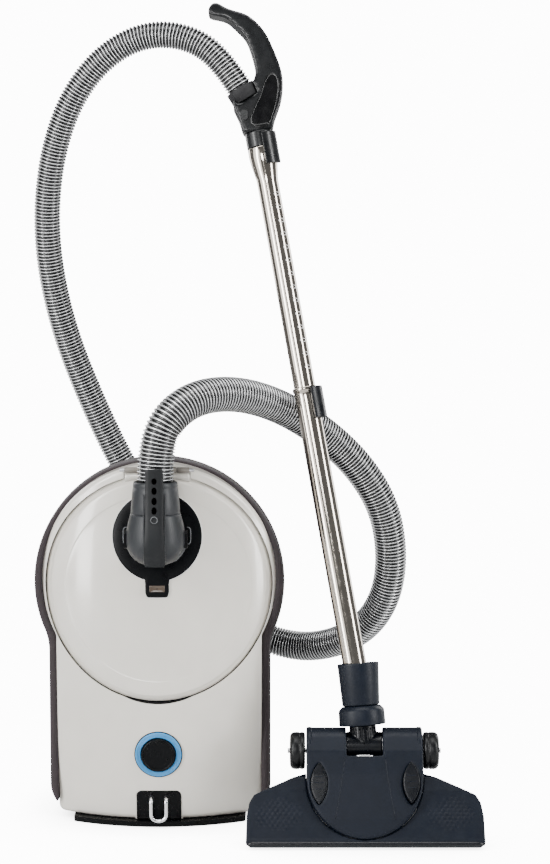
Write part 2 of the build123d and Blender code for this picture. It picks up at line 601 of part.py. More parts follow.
def make_housing_solid(grow):
    """The round-fronted housing: a plan outline met with a side outline."""
    half = HOUSING_HALF + grow
    front = HOUSING_FRONT_U - grow
    arc = ThreePointArc((half, 82), (0, front), (-half, 82))
    plan = make_face(arc.edges() + Polyline((-half, 82), (-half, 160), (half, 160), (half, 82)).edges())
    block = extrude(plan, amount=60)
    top = AXLE_N + REAR_R + grow
    low = 2.6 - grow
    nose = Polyline((0, 0, low), (0, 0, 9 + grow), (0, 30, 21 + grow), (0, 80, 38 + grow),
                    (0, 108, top), (0, AXLE_U, top))
    under = AXLE_N - REAR_R - grow + 2.6
    rear = ThreePointArc((0, AXLE_U, top), (0, AXLE_U + REAR_R + grow, AXLE_N), (0, AXLE_U, under))
    base = Polyline((0, AXLE_U, under), (0, 0, low))
    shape = extrude(make_face(nose.edges() + rear.edges() + base.edges()), amount=90, both=True)
    return block & shape


def pedal_solid(side, lift):
    """A lens-shaped pedal beside the housing's crown, standing proud of it by lift."""
    return lens_prism(side, 0.0, 20.0) & make_housing_solid(lift)


def lens_prism(side, grow, low):
    plan = Pos(side * 56.0, 70) * (Pos(-24, 0) * Circle(34 + grow) & Pos(24, 0) * Circle(34 + grow))
    return Pos(0, 0, low) * extrude(plan, amount=50)


def make_neck():
    frame = neck_frame()
    head = head_frame()
    barrel = rod_x(BARREL_R, (-BARREL_HALF, BARREL_HALF), AXLE_U, AXLE_N)
    barrel = head.location * barrel
    stalk = frame.location * rod_z(16.5, 0, 0, (0, COLLAR_T[0]))
    body = barrel + stalk
    body -= head.location * rod_x(14.48, (-60, 60), AXLE_U, AXLE_N)
    body -= frame.location * rod_z(12.5, 0, 0, (0, 40))
    nodes["pivot_barrel"] = body
    low, high = COLLAR_T
    collar = Pos(0, 0, (low + high) / 2) * Cone(28.0, 27.0, high - low)
    collar += rod_z(SOCKET_BORE_R - 0.08, 0, 0, (high, high + 3.2))
    nodes["swivel_collar"] = frame.location * (collar - rod_z(11.4, 0, 0, (20, 80)))


make_casing()
make_foot()
make_lid()
make_controls()
for spot, (castor_x, castor_z) in zip(("a", "b", "c", "d"), CASTOR_PLACES):
    make_castor(spot, castor_x, castor_z)
make_inside()
make_hose()
make_wand()
make_handle()
make_head()
make_neck()

os.makedirs("parts", exist_ok=True)
for name, shape in nodes.items():
    export_step(shape, "parts/" + name + ".step")
print(len(nodes), "nodes")
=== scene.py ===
"""Looks of a canister vacuum cleaner, parked on its end, with hose, handle, wand and floor head.

Metres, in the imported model's own frame: X to the right, Y to the back, Z up from the floor.
"""
import json
import math

import bmesh
import bpy
from mathutils import Matrix, Vector


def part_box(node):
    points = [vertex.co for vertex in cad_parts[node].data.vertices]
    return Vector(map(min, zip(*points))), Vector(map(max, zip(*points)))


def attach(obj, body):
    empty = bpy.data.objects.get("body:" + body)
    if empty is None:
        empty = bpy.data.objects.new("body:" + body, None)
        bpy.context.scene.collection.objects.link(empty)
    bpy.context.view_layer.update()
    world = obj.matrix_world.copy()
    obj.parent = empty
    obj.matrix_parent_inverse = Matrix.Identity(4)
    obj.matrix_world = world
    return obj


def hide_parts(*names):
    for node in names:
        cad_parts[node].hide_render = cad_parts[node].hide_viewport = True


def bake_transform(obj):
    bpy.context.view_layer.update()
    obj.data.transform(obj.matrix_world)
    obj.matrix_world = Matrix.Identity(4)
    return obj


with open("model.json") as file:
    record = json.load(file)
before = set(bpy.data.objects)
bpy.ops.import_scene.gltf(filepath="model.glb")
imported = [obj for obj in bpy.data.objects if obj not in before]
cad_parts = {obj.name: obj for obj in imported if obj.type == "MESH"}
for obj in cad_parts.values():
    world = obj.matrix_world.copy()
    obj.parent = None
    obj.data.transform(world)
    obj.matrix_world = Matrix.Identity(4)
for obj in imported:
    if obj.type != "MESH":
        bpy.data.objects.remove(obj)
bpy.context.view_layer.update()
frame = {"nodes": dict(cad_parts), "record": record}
NODES = frame["nodes"]
MM = 0.001
SIDES = ((-1, "left"), (1, "right"))


def add_object(name, data):
    made = bpy.data.objects.new(name, data)
    bpy.context.scene.collection.objects.link(made)
    return made


def turns(count):
    """Angles once round a circle."""
    return [2 * math.pi * turn / count for turn in range(count)]


# ================================ camera, floor and light =======================================
CAMERA_AIM = Vector((0.145, -0.125, 0.498))
CAMERA_ELEVATION = math.radians(6.5)
CAMERA_DISTANCE = 2.8
VIEW_HEIGHT = 1.054      # metres seen from bottom to top at the aim


def make_camera():
    data = bpy.data.cameras.new("camera")
    camera = add_object("camera", data)
    back = Vector((0, -math.cos(CAMERA_ELEVATION), math.sin(CAMERA_ELEVATION)))
    camera.location = CAMERA_AIM + back * CAMERA_DISTANCE
    camera.rotation_euler = (math.pi / 2 - CAMERA_ELEVATION, 0, 0)
    data.lens = data.sensor_width * CAMERA_DISTANCE / VIEW_HEIGHT
    data.clip_end = 50
    bpy.context.scene.camera = camera


def area_light(name, place, aim, size, power, colour=(1, 1, 1)):
    data = bpy.data.lights.new(name, "AREA")
    data.shape = "RECTANGLE"
    data.size, data.size_y = size
    data.energy = power
    data.color = colour
    light = add_object(name, data)
    light.location = place
    light.rotation_euler = (Vector(aim) - Vector(place)).to_track_quat("-Z", "Y").to_euler()


SEEN_WHITE = 13.0        # brightness of the backdrop and floor as the camera sees them
SKY_LIGHT = 0.22         # brightness of the studio as the object receives it


def set_inputs(node, values):
    for name, value in values.items():
        node.inputs[name].default_value = value


def by_ray(tree, kind, on, off, output):
    """One shader for rays of a kind, and another for all the others."""
    pick = tree.nodes.new("ShaderNodeMixShader")
    ray = tree.nodes.new("ShaderNodeLightPath")
    tree.links.new(ray.outputs[kind], pick.inputs["Fac"])
    tree.links.new(off, pick.inputs[1])
    tree.links.new(on, pick.inputs[2])
    tree.links.new(pick.outputs["Shader"], output.inputs["Surface"])


def make_world():
    world = bpy.data.worlds.new("studio")
    world.use_nodes = True
    tree = world.node_tree
    sky = tree.nodes["Background"]
    set_inputs(sky, {"Color": (0.93, 0.94, 0.95, 1), "Strength": SKY_LIGHT})
    seen = tree.nodes.new("ShaderNodeBackground")
    set_inputs(seen, {"Color": (1, 1, 1, 1), "Strength": SEEN_WHITE})
    by_ray(tree, "Is Camera Ray", seen.outputs[0], sky.outputs[0], tree.nodes["World Output"])
    bpy.context.scene.world = world


def make_floor():
    mesh = bpy.data.meshes.new("studio_floor")
    mesh.from_pydata([(-9, -9, 0), (9, -9, 0), (9, 9, 0), (-9, 9, 0)], [], [(0, 1, 2, 3)])
    floor = add_object("studio_floor", mesh)
    paper, tree, shader = new_material("floor_paper")
    set_inputs(shader, {"Base Color": (0.8, 0.8, 0.8, 1), "Roughness": 0.75})
    # The floor glows white for the camera and is dimmed near the object by ambient occlusion: a painted
    # contact shadow.
    near = tree.nodes.new("ShaderNodeAmbientOcclusion")
    near.inputs["Distance"].default_value = 0.09
    near.samples = 8
    glow = tree.nodes.new("ShaderNodeEmission")
    tree.links.new(remap(tree, near.outputs["AO"], 0.12 * SEEN_WHITE, SEEN_WHITE, 0.0, 0.92),
                   glow.inputs["Strength"])
    by_ray(tree, "Is Camera Ray", glow.outputs[0], shader.outputs[0], tree.nodes["Material Output"])
    mesh.materials.append(paper)


def make_card(name, start, end, low, high, strength):
    """A tall studio card that only mirror reflections see."""
    mesh = bpy.data.meshes.new(name)
    mesh.from_pydata([(*start, low), (*end, low), (*end, high), (*start, high)], [], [(0, 1, 2, 3)])
    card = add_object(name, mesh)
    made, tree, shader = new_material(name)
    tree.nodes.remove(shader)
    glow = tree.nodes.new("ShaderNodeEmission")
    glow.inputs["Strength"].default_value = strength
    clear = tree.nodes.new("ShaderNodeBsdfTransparent")
    by_ray(tree, "Is Glossy Ray", glow.outputs[0], clear.outputs[0], tree.nodes["Material Output"])
    mesh.materials.append(made)


def make_stage():
    make_world()
    make_floor()
    make_card("soft_card", (-1.25, -2.5), (-2.7, -0.4), 0.1, 2.1, 3.2)
    area_light("key_left", (-1.7, -1.5, 0.9), (0, 0, 0.4), (0.45, 2.4), 70)
    area_light("key_right", (1.9, -0.9, 0.9), (0.1, 0, 0.4), (0.4, 2.4), 60)
    area_light("front_fill", (-0.5, -3.5, 1.6), (0.1, 0, 0.4), (0.8, 0.8), 44)
    area_light("top_soft", (0.1, -0.5, 2.4), (0.1, 0, 0.3), (1.8, 1.0), 42)
    area_light("back_left", (-1.6, 1.8, 1.2), (0, 0, 0.5), (0.8, 1.8), 30)
    area_light("back_right", (1.9, 1.6, 1.0), (0.1, 0, 0.5), (0.8, 1.8), 30)


# ================================ materials ======================================================
def new_material(name):
    made = bpy.data.materials.new(name)
    made.use_nodes = True
    tree = made.node_tree
    return made, tree, tree.nodes["Principled BSDF"]


def noise_node(tree, scale, detail=3.0):
    node = tree.nodes.new("ShaderNodeTexNoise")
    set_inputs(node, {"Scale": scale, "Detail": detail})
    coords = tree.nodes.new("ShaderNodeTexCoord").outputs["Object"]
    tree.links.new(coords, node.inputs["Vector"])
    return node.outputs["Fac"]


def remap(tree, value, low, high, start=0.3, end=0.7):
    node = tree.nodes.new("ShaderNodeMapRange")
    set_inputs(node, {"From Min": start, "From Max": end, "To Min": low, "To Max": high})
    tree.links.new(value, node.inputs["Value"])
    return node.outputs["Result"]


def mix_colour(tree, factor, one, two):
    node = tree.nodes.new("ShaderNodeMix")
    node.data_type = "RGBA"
    tree.links.new(factor, node.inputs["Factor"])
    for socket, value in (("A", one), ("B", two)):
        target = [i for i in node.inputs if i.name == socket and i.type == "RGBA"][0]
        if isinstance(value, tuple):
            target.default_value = (*value, 1)
        else:
            tree.links.new(value, target)
    return [o for o in node.outputs if o.type == "RGBA"][0]


def bump(tree, shader, height, strength, distance):
    node = tree.nodes.new("ShaderNodeBump")
    set_inputs(node, {"Strength": strength, "Distance": distance})
    tree.links.new(height, node.inputs["Height"])
    tree.links.new(node.outputs["Normal"], shader.inputs["Normal"])


def plastic(name, colour, rough=0.35, spread=0.06, grain=0.0, grain_scale=2500.0, coat=0.0,
            metallic=0.0, patch_scale=35.0, rough_spread=0.05, specular=0.5):
    """Moulded plastic or metal: uneven tone, uneven gloss, and a fine grain in relief."""
    made, tree, shader = new_material(name)
    patches = noise_node(tree, patch_scale, 4.0)
    dark = tuple(c * (1 - spread) for c in colour)
    light = tuple(min(1.0, c * (1 + spread)) for c in colour)
    factor = remap(tree, patches, 0.0, 1.0)
    tree.links.new(mix_colour(tree, factor, dark, light), shader.inputs["Base Color"])
    gloss = noise_node(tree, patch_scale * 3.1, 3.0)
    tree.links.new(remap(tree, gloss, rough - rough_spread, rough + rough_spread),
                   shader.inputs["Roughness"])
    if grain:
        bump(tree, shader, noise_node(tree, grain_scale, 2.0), 0.35, grain * MM)
    set_inputs(shader, {"Metallic": metallic, "Coat Weight": coat, "Coat Roughness": 0.08,
                        "Specular IOR Level": specular})
    return made


def make_materials():
    made = {
        "cover": plastic("cover_white", (0.66, 0.632, 0.572), 0.2, 0.02, 0.0, coat=0.5),
        "shell": plastic("shell_grey", (0.020, 0.020, 0.022), 0.5, 0.12, 0.05, 1800, specular=0.3),
        "black": plastic("black_plastic", (0.0013, 0.0016, 0.0021), 0.3, 0.15, 0.02, specular=0.1),
        "elbow": plastic("elbow_grey", (0.020, 0.022, 0.0245), 0.4, 0.08, 0.03, 2200, specular=0.25),
        "rubber": plastic("dark_rubber", (0.01, 0.01, 0.011), 0.7, 0.12, 0.03, specular=0.3),
        "strap": plastic("strap_rubber", (0.0075, 0.0085, 0.0095), 0.5, 0.1, 0.04, 1600, specular=0.2),
        "blue": plastic("dial_blue", (0.05, 0.25, 0.52), 0.35, 0.05, 0.02, specular=0.3),
        "lens": plastic("lens_amber", (0.055, 0.038, 0.026), 0.2, 0.1),
        "chrome": plastic("chrome_wire", (0.78, 0.79, 0.80), 0.08, 0.03, metallic=1.0),
        "tube": plastic("tube_chrome", (0.50, 0.455, 0.40), 0.11, 0.04, metallic=1.0, rough_spread=0.03),
        "steel": plastic("plain_steel", (0.5, 0.5, 0.52), 0.3, 0.08, metallic=1.0),
        "iron": plastic("laminated_iron", (0.2, 0.17, 0.15), 0.5, 0.2, metallic=0.8),
        "alloy": plastic("pressed_alloy", (0.6, 0.61, 0.63), 0.35, 0.08, metallic=1.0),
        "fleece": plastic("bag_fleece", (0.7, 0.67, 0.62), 0.9, 0.1, 0.2, 900),
        "foam": plastic("filter_fleece", (0.05, 0.055, 0.065), 0.9, 0.2, 0.2, 700),
        "handle": plastic("handle_black", (0.0035, 0.004, 0.0047), 0.3, 0.12, 0.015, coat=0.15,
                          specular=0.25),
        "panel": plastic("handle_panel", (0.001, 0.001, 0.0014), 0.16, 0.1, coat=0.3, specular=0.3),
        "slider": plastic("slider_grey", (0.012, 0.0125, 0.013), 0.3, 0.06),
        "head": plastic("head_navy", (0.0024, 0.0046, 0.0098), 0.44, 0.12, 0.03, 2600, specular=0.2),
        "head_dark": plastic("head_dark", (0.0010, 0.0017, 0.0034), 0.3, 0.12, 0.02, specular=0.25),
        "tyre": plastic("tyre_black", (0.0012, 0.0015, 0.0022), 0.36, 0.15, 0.04, 1500, specular=0.25),
        # diffuse near white on the chrome tube's notches: painted highlight
        "bright": plastic("notch_painted_highlight", (0.86, 0.86, 0.85), 0.3, 0.05),
        "head_lip": plastic("head_lip", (0.004, 0.005, 0.0075), 0.3, 0.1, 0.02, specular=0.3),
        "bright_black": plastic("gloss_black", (0.002, 0.002, 0.0025), 0.12, 0.1, coat=0.6),
        # near black without gloss: painted shade inside the strap's holes
        "hole_shade": plastic("painted_hole_shade", (0.0002, 0.0002, 0.0002), 0.9, 0.1, specular=0.0),
        # grey far lighter than the black parts it lines: painted highlights along edges and rims
        "edge": plastic("painted_highlight_edge", (0.10, 0.105, 0.11), 0.3, 0.05, specular=0.4),
        # a lighter copy of the cover's white: painted highlight
        "rim": plastic("cover_rim_highlight", (0.84, 0.83, 0.80), 0.2, 0.02, coat=0.5),
        "hinge": plastic("hinge_strip", (0.17, 0.155, 0.135), 0.45, 0.08),
        "belt": weave_material(),
        "bristle": plastic("bristle", (0.008, 0.008, 0.01), 0.8, 0.3, 0.3, 1200),
    }
    return made


CAD_MATERIALS = {
    "cover": ["top_cover", "lid"],
    "shell": ["chassis"],
    "black": ["base_foot", "hook_plate", "inlet_ring", "lid_latch", "power_button", "cable_gland",
              "elbow_clip_left", "elbow_clip_right", "bag_holder", "motor_housing"]
    + ["castor_fork_" + spot for spot in "abcd"],
    "elbow": ["hose_elbow", "hose_cuff"],
    "rubber": ["lid_seal", "bumper"],
    "strap": ["strap"],
    "blue": ["power_ring"],
    "lens": ["indicator_window"],
    "chrome": ["park_hook"],
    "tube": ["upper_tube", "lower_tube"],
    "steel": ["lid_hinge_pin", "casing_screws", "head_pins"],
    "iron": ["motor_stator", "motor_rotor"],
    "alloy": ["fan_impeller", "sole_plate"],
    "fleece": ["dust_bag"],
    "foam": ["motor_filter", "exhaust_filter"],
    "handle": ["handle_body", "handle_cuff", "tube_collar", "handle_release"],
    "panel": ["handle_panel"],
    "slider": ["suction_slider"],
    "head": ["nozzle_body", "head_housing", "neck_socket", "swivel_collar"],
    "head_dark": ["pedal_left", "pedal_right", "pivot_barrel", "tube_lock"],
    "tyre": ["head_wheel_left", "head_wheel_right"] + ["castor_wheel_" + spot for spot in "abcd"],
    "bristle": ["brush_strips"],
}


def dress_cad(materials):
    for key, names in CAD_MATERIALS.items():
        for name in names:
            mesh = NODES[name].data
            mesh.materials.clear()
            mesh.materials.append(materials[key])


# ================================ mesh helpers ====================================================
def add_mesh(name, verts, faces, material):
    mesh = bpy.data.meshes.new(name)
    mesh.from_pydata([tuple(v) for v in verts], [], faces)
    mesh.update()
    mesh.shade_smooth()
    made = add_object(name, mesh)
    mesh.materials.append(material)
    return made


def ring_faces(rings, count, base=0):
    """The four-sided faces between closed rings of count points each."""
    faces = []
    for ring in range(rings - 1):
        for turn in range(count):
            one = base + ring * count + turn
            two = base + ring * count + (turn + 1) % count
            faces.append((one, two, two + count, one + count))
    return faces


def curve_points(name, route):
    """The points of a smooth NURBS line through a route's control points."""
    data = bpy.data.curves.new(name, "CURVE")
    data.dimensions = "3D"
    data.resolution_u = 24
    spline = data.splines.new("NURBS")
    spline.points.add(len(route) - 1)
    for point, place in zip(spline.points, route):
        point.co = (*place, 1)
    spline.order_u = 3
    spline.use_endpoint_u = True
    holder = add_object(name, data)
    bpy.context.view_layer.update()
    mesh = bpy.data.meshes.new_from_object(holder)
    points = [vertex.co.copy() for vertex in mesh.vertices]
    bpy.data.objects.remove(holder)
    return points


def resample(points, steps):
    """Points at the given distances along a line."""
    lengths = [0.0]
    for one, two in zip(points, points[1:]):
        lengths.append(lengths[-1] + (two - one).length)
    placed, at = [], 0
    for step in steps:
        while at < len(lengths) - 2 and lengths[at + 1] < step:
            at += 1
        share = (step - lengths[at]) / max(lengths[at + 1] - lengths[at], 1e-9)
        placed.append(points[at].lerp(points[at + 1], min(max(share, 0.0), 1.0)))
    return placed


def line_length(points):
    return sum((two - one).length for one, two in zip(points, points[1:]))


# ================================ hose ============================================================
HOSE_ROUTE_MM = [
    (0, -152, 442), (0, -152, 478), (13, -148, 516), (48, -124, 541), (97, -82, 542),
    (150, -36, 522), (204, -4, 486), (252, 13, 440), (285, 25, 386), (297, 38, 326),
    (293, 54, 268), (271, 80, 220), (232, 115, 188), (184, 147, 173), (132, 164, 182),
    (86, 168, 212), (46, 170, 256), (10, 170, 304), (-22, 170, 352), (-50, 167, 402),
    (-78, 160, 458), (-104, 148, 520), (-128, 132, 586), (-144, 114, 652), (-152, 96, 718),
    (-150, 80, 784), (-138, 64, 848), (-114, 50, 908), (-74, 40, 958), (-22, 31, 986),
    (32, 22, 984), (76, 15, 957), (104.6, 12.1, 911.3),
]
HOSE_PITCH = 4.4 * MM
HOSE_START_R = 22.4 * MM
HOSE_END_R = 17.0 * MM
HOSE_SIDES = 36
# one rib: (share of the pitch, share of the rib's depth)
HOSE_RIB = [(0.0, 0.0), (0.24, 0.03), (0.35, 0.6), (0.46, 1.0), (0.57, 1.0), (0.68, 0.6),
            (0.79, 0.03)]
HOSE_DEPTH = 2.3 * MM


def hose_material():
    made, tree, shader = new_material("hose_silver")
    depth = tree.nodes.new("ShaderNodeAttribute")
    depth.attribute_name = "rib"
    # Colour follows rib depth: the grooves are painted near black as painted shade, and the crests keep
    # the hose's own silver.
    crest = remap(tree, depth.outputs["Fac"], 0.0, 1.0, 0.5, 0.97)
    tree.links.new(mix_colour(tree, crest, (0.0015, 0.0015, 0.002), (0.66, 0.67, 0.68)),
                   shader.inputs["Base Color"])
    tree.links.new(remap(tree, depth.outputs["Fac"], 0.0, 0.55, 0.3, 0.9),
                   shader.inputs["Metallic"])
    tree.links.new(remap(tree, noise_node(tree, 260.0), 0.18, 0.3), shader.inputs["Roughness"])
    return made


def make_hose():
    route = [Vector(point) * MM for point in HOSE_ROUTE_MM]
    line = curve_points("hose_line", route)
    total = line_length(line)
    ribs = round(total / HOSE_PITCH)
    pitch = total / ribs
    steps, depths = [], []
    for rib in range(ribs):
        for share, depth in HOSE_RIB:
            steps.append((rib + share) * pitch)
            depths.append(depth)
    steps.append(total)
    depths.append(0.0)
    centres = resample(line, steps)
    side = Vector((1, 0, 0))
    verts, ring_depths = [], []
    for index, centre in enumerate(centres):
        ahead = centres[min(index + 3, len(centres) - 1)]
        behind = centres[max(index - 3, 0)]
        along = (ahead - behind).normalized()
        side = (side - along * side.dot(along)).normalized()
        up = along.cross(side)
        share = steps[index] / total
        crest = HOSE_START_R + (HOSE_END_R - HOSE_START_R) * min(1.0, share * 1.25)
        radius = crest - HOSE_DEPTH * (1 - depths[index])
        for angle in turns(HOSE_SIDES):
            verts.append(centre + (side * math.cos(angle) + up * math.sin(angle)) * radius)
            ring_depths.append(depths[index])
    faces = ring_faces(len(centres), HOSE_SIDES)
    faces.append(tuple(reversed(range(HOSE_SIDES))))
    faces.append(tuple(range(len(verts) - HOSE_SIDES, len(verts))))
    hose = add_mesh("ribbed_hose", verts, faces, hose_material())
    layer = hose.data.attributes.new("rib", "FLOAT", "POINT")
    layer.data.foreach_set("value", ring_depths)
    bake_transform(hose)
    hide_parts("hose_lower", "hose_upper")


# ================================ casing ==========================================================
BUMPER_R = 157.0 * MM    # the belt's outer outline: a circle on a straight-sided block
ROUND_Z = 303.0 * MM     # height of that circle's centre, and of the lid's
SIDE_X = 139.5 * MM
BUMPER_BASE_Z = 10.0 * MM
BUMPER_CORNER_R = 34.0 * MM
CASE_R = 147.0 * MM      # the casing's outline inside the belt
CASE_Z = 309.5 * MM
CASE_X = 128.5 * MM
CASE_BASE_Z = 8.0 * MM
CASE_CORNER_R = 9.0 * MM
FRONT_Y = -125.0 * MM    # the bulged front: a large barrel
BULGE_R = 240.0 * MM
BULGE_LONG_R = 1600.0 * MM
BULGE_Z = 250.0 * MM
HINGE_Y = -113.0 * MM
HINGE_Z = 449.5 * MM
HINGE_HALF = 40.0 * MM


def bulge_y(x, z, out=0.0):
    """Y of the casing's front at x, z, moved out of the casing by out."""
    radius = BULGE_R + out - (z - BULGE_Z) ** 2 / (2 * BULGE_LONG_R)
    return FRONT_Y + BULGE_R - math.sqrt(radius ** 2 - x ** 2)


def belt_path():
    """The belt's outer outline as (x, z, outward x, outward z), from right foot to left foot."""
    waist = math.sqrt(BUMPER_R ** 2 - SIDE_X ** 2)
    waist_z = ROUND_Z - waist
    soft = 16 * MM
    centre_x, centre_z = SIDE_X - BUMPER_CORNER_R, BUMPER_BASE_Z + BUMPER_CORNER_R
    right = []
    for step in range(10):
        angle = -math.pi / 2 * (1 - step / 9)
        right.append((centre_x + BUMPER_CORNER_R * math.cos(angle),
                      centre_z + BUMPER_CORNER_R * math.sin(angle)))
    high = waist_z - soft
    right += [(SIDE_X, centre_z + (high - centre_z) * step / 26) for step in range(1, 26)]
    start = -math.atan2(waist, SIDE_X) + soft / BUMPER_R
    end = (BUMPER_R * math.cos(start), ROUND_Z + BUMPER_R * math.sin(start))
    for step in range(9):
        t = step / 8
        one, two, three = (1 - t) ** 2, 2 * t * (1 - t), t ** 2
        right.append((one * SIDE_X + two * SIDE_X + three * end[0],
                      one * high + two * waist_z + three * end[1]))
    for step in range(1, 91):
        angle = start + (math.pi / 2 - start) * step / 90
        right.append((BUMPER_R * math.cos(angle), ROUND_Z + BUMPER_R * math.sin(angle)))
    line = right + [(-x, z) for x, z in reversed(right[:-1])]
    path = []
    for index, (x, z) in enumerate(line):
        ahead, behind = line[min(index + 1, len(line) - 1)], line[max(index - 1, 0)]
        dx, dz = ahead[0] - behind[0], ahead[1] - behind[1]
        size = math.hypot(dx, dz)
        path.append((x, z, dz / size, -dx / size))
    return path


def in_casing(x, z):
    if math.hypot(x, z - CASE_Z) < CASE_R:
        return True
    if abs(x) > CASE_X or not CASE_BASE_Z < z < CASE_Z:
        return False
    corner_x, corner_z = abs(x) - CASE_X + CASE_CORNER_R, CASE_BASE_Z + CASE_CORNER_R - z
    return min(corner_x, corner_z) < 0 or math.hypot(corner_x, corner_z) < CASE_CORNER_R


def belt_depth(x, z, out_x, out_z):
    """How far the casing lies inside the belt's outer outline."""
    depth = 0.0
    while depth < 30 * MM and not in_casing(x - out_x * depth, z - out_z * depth):
        depth += 0.25 * MM
    return depth


def rings_to_mesh(name, rings, material, cap=False):
    """Joins closed rings of points, one after the other, into a surface."""
    count = len(rings[0])
    verts = [point for ring in rings for point in ring]
    faces = ring_faces(len(rings), count)
    if cap:
        faces.append(tuple(reversed(range(count))))
        faces.append(tuple(range((len(rings) - 1) * count, len(rings) * count)))
    made = add_mesh(name, verts, faces, material)
    tidy_normals(made)
    return made


def tidy_normals(made):
    work = bmesh.new()
    work.from_mesh(made.data)
    bmesh.ops.recalc_face_normals(work, faces=work.faces)
    work.to_mesh(made.data)
    work.free()


def disc_rings(profile, centre_z, sides=160):
    """Rings of a disc that lies on the bulged front: (radius, out) pairs."""
    rings = []
    for radius, out in profile:
        ring = []
        for angle in turns(sides):
            x, z = radius * math.cos(angle), centre_z + radius * math.sin(angle)
            ring.append((x, bulge_y(x, z, out), z))
        rings.append(ring)
    return rings


# the lid from its middle to its rim: (radius, height above the bulged front), in millimetres
LID_PROFILE = [
    (0.5, -0.5), (30, -0.5), (60, -0.5), (85, -0.5), (100, -0.5), (110, -0.5), (115.2, -0.5),
    (115.9, -0.4), (116.5, -0.05), (117.2, 0.0), (124, 0.0), (130, 0.0), (133.0, -0.05), (133.8, -0.25),
    (134.4, -0.8), (136.0, -1.9), (138.2, -3.2), (139.8, -4.2), (140.8, -5.0), (141.4, -5.4),
    (141.4, -5.7), (120, -5.7), (60, -5.7), (0.5, -5.7)]


# one knuckle of the hinge: (share of its length, radius)
KNUCKLE = [(0.0, 2.6), (0.012, 3.3), (0.04, 3.6), (0.96, 3.6), (0.988, 3.3), (1.0, 2.6)]


def make_lid(materials):
    profile = [(radius * MM, out * MM) for radius, out in LID_PROFILE]
    lid = rings_to_mesh("lid_shell", disc_rings(profile, ROUND_Z, 220), materials["cover"], cap=True)
    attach(lid, "lid")
    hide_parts("lid")

    lid_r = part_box("lid")[1][0]
    rows = []
    for edge, out in (("low", -3.2), ("low", -0.3), ("high", -0.3), ("high", -3.2)):
        row = []
        for step in range(33):
            x = HINGE_HALF * (step / 16 - 1)
            low = ROUND_Z + math.sqrt(lid_r ** 2 - x ** 2) - 4 * MM
            z = low if edge == "low" else HINGE_Z - 3 * MM
            row.append((x, bulge_y(x, z, out * MM), z))
        rows.append(row)
    tab = strip_mesh("lid_tab", rows, materials["cover"])
    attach(tab, "lid")

    rings = []
    knuckle = 2 * HINGE_HALF / 5
    for part in range(5):
        start = -HINGE_HALF + part * knuckle
        for share, radius in KNUCKLE:
            x = start + knuckle * share
            rings.append([(x, HINGE_Y + radius * MM * math.cos(angle),
                           HINGE_Z + radius * MM * math.sin(angle)) for angle in turns(28)])
    barrel = rings_to_mesh("hinge_barrel", rings, materials["hinge"], cap=True)
    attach(barrel, "lid")


def strip_mesh(name, rows, material):
    """A bar from rows of points: the rows close on each other, and the ends are capped."""
    count = len(rows[0])
    verts = [point for row in rows for point in row]
    faces = []
    for row in range(len(rows)):
        after = (row + 1) % len(rows)
        for step in range(count - 1):
            faces.append((row * count + step, row * count + step + 1,
                          after * count + step + 1, after * count + step))
    faces.append(tuple(row * count for row in range(len(rows))))
    faces.append(tuple(row * count + count - 1 for row in reversed(range(len(rows)))))
    made = add_mesh(name, verts, faces, material)
    tidy_normals(made)
    return made


YARN_PITCH = 1.5 * MM


def math_node(tree, operation, *values):
    node = tree.nodes.new("ShaderNodeMath")
    node.operation = operation
    for socket, value in zip(node.inputs, values):
        if isinstance(value, float):
            socket.default_value = value
        else:
            tree.links.new(value, socket)
    return node.outputs[0]


def weave_material():
    """A close woven belt: two crossing sets of yarns on the belt's own length and width."""
    made, tree, shader = new_material("bumper_cloth")
    uv = tree.nodes.new("ShaderNodeUVMap")
    split = tree.nodes.new("ShaderNodeSeparateXYZ")
    tree.links.new(uv.outputs["UV"], split.inputs["Vector"])
    waves = []
    for axis in ("X", "Y"):
        phase = math_node(tree, "MULTIPLY", split.outputs[axis], 2 * math.pi / YARN_PITCH)
        waves.append(math_node(tree, "SINE", phase))
    height = remap(tree, math_node(tree, "MULTIPLY", *waves), 0.0, 1.0, -1.0, 1.0)
    yarn = mix_colour(tree, height, (0.010, 0.0075, 0.0085), (0.055, 0.044, 0.048))
    patch = remap(tree, noise_node(tree, 220.0, 5.0), 0.0, 1.0, 0.35, 0.65)
    tree.links.new(mix_colour(tree, patch, yarn, (0.030, 0.024, 0.026)), shader.inputs["Base Color"])
    bump(tree, shader, height, 0.5, 0.25 * MM)
    set_inputs(shader, {"Roughness": 0.85, "Specular IOR Level": 0.2, "Sheen Weight": 0.12,
                        "Sheen Roughness": 0.5})
    return made


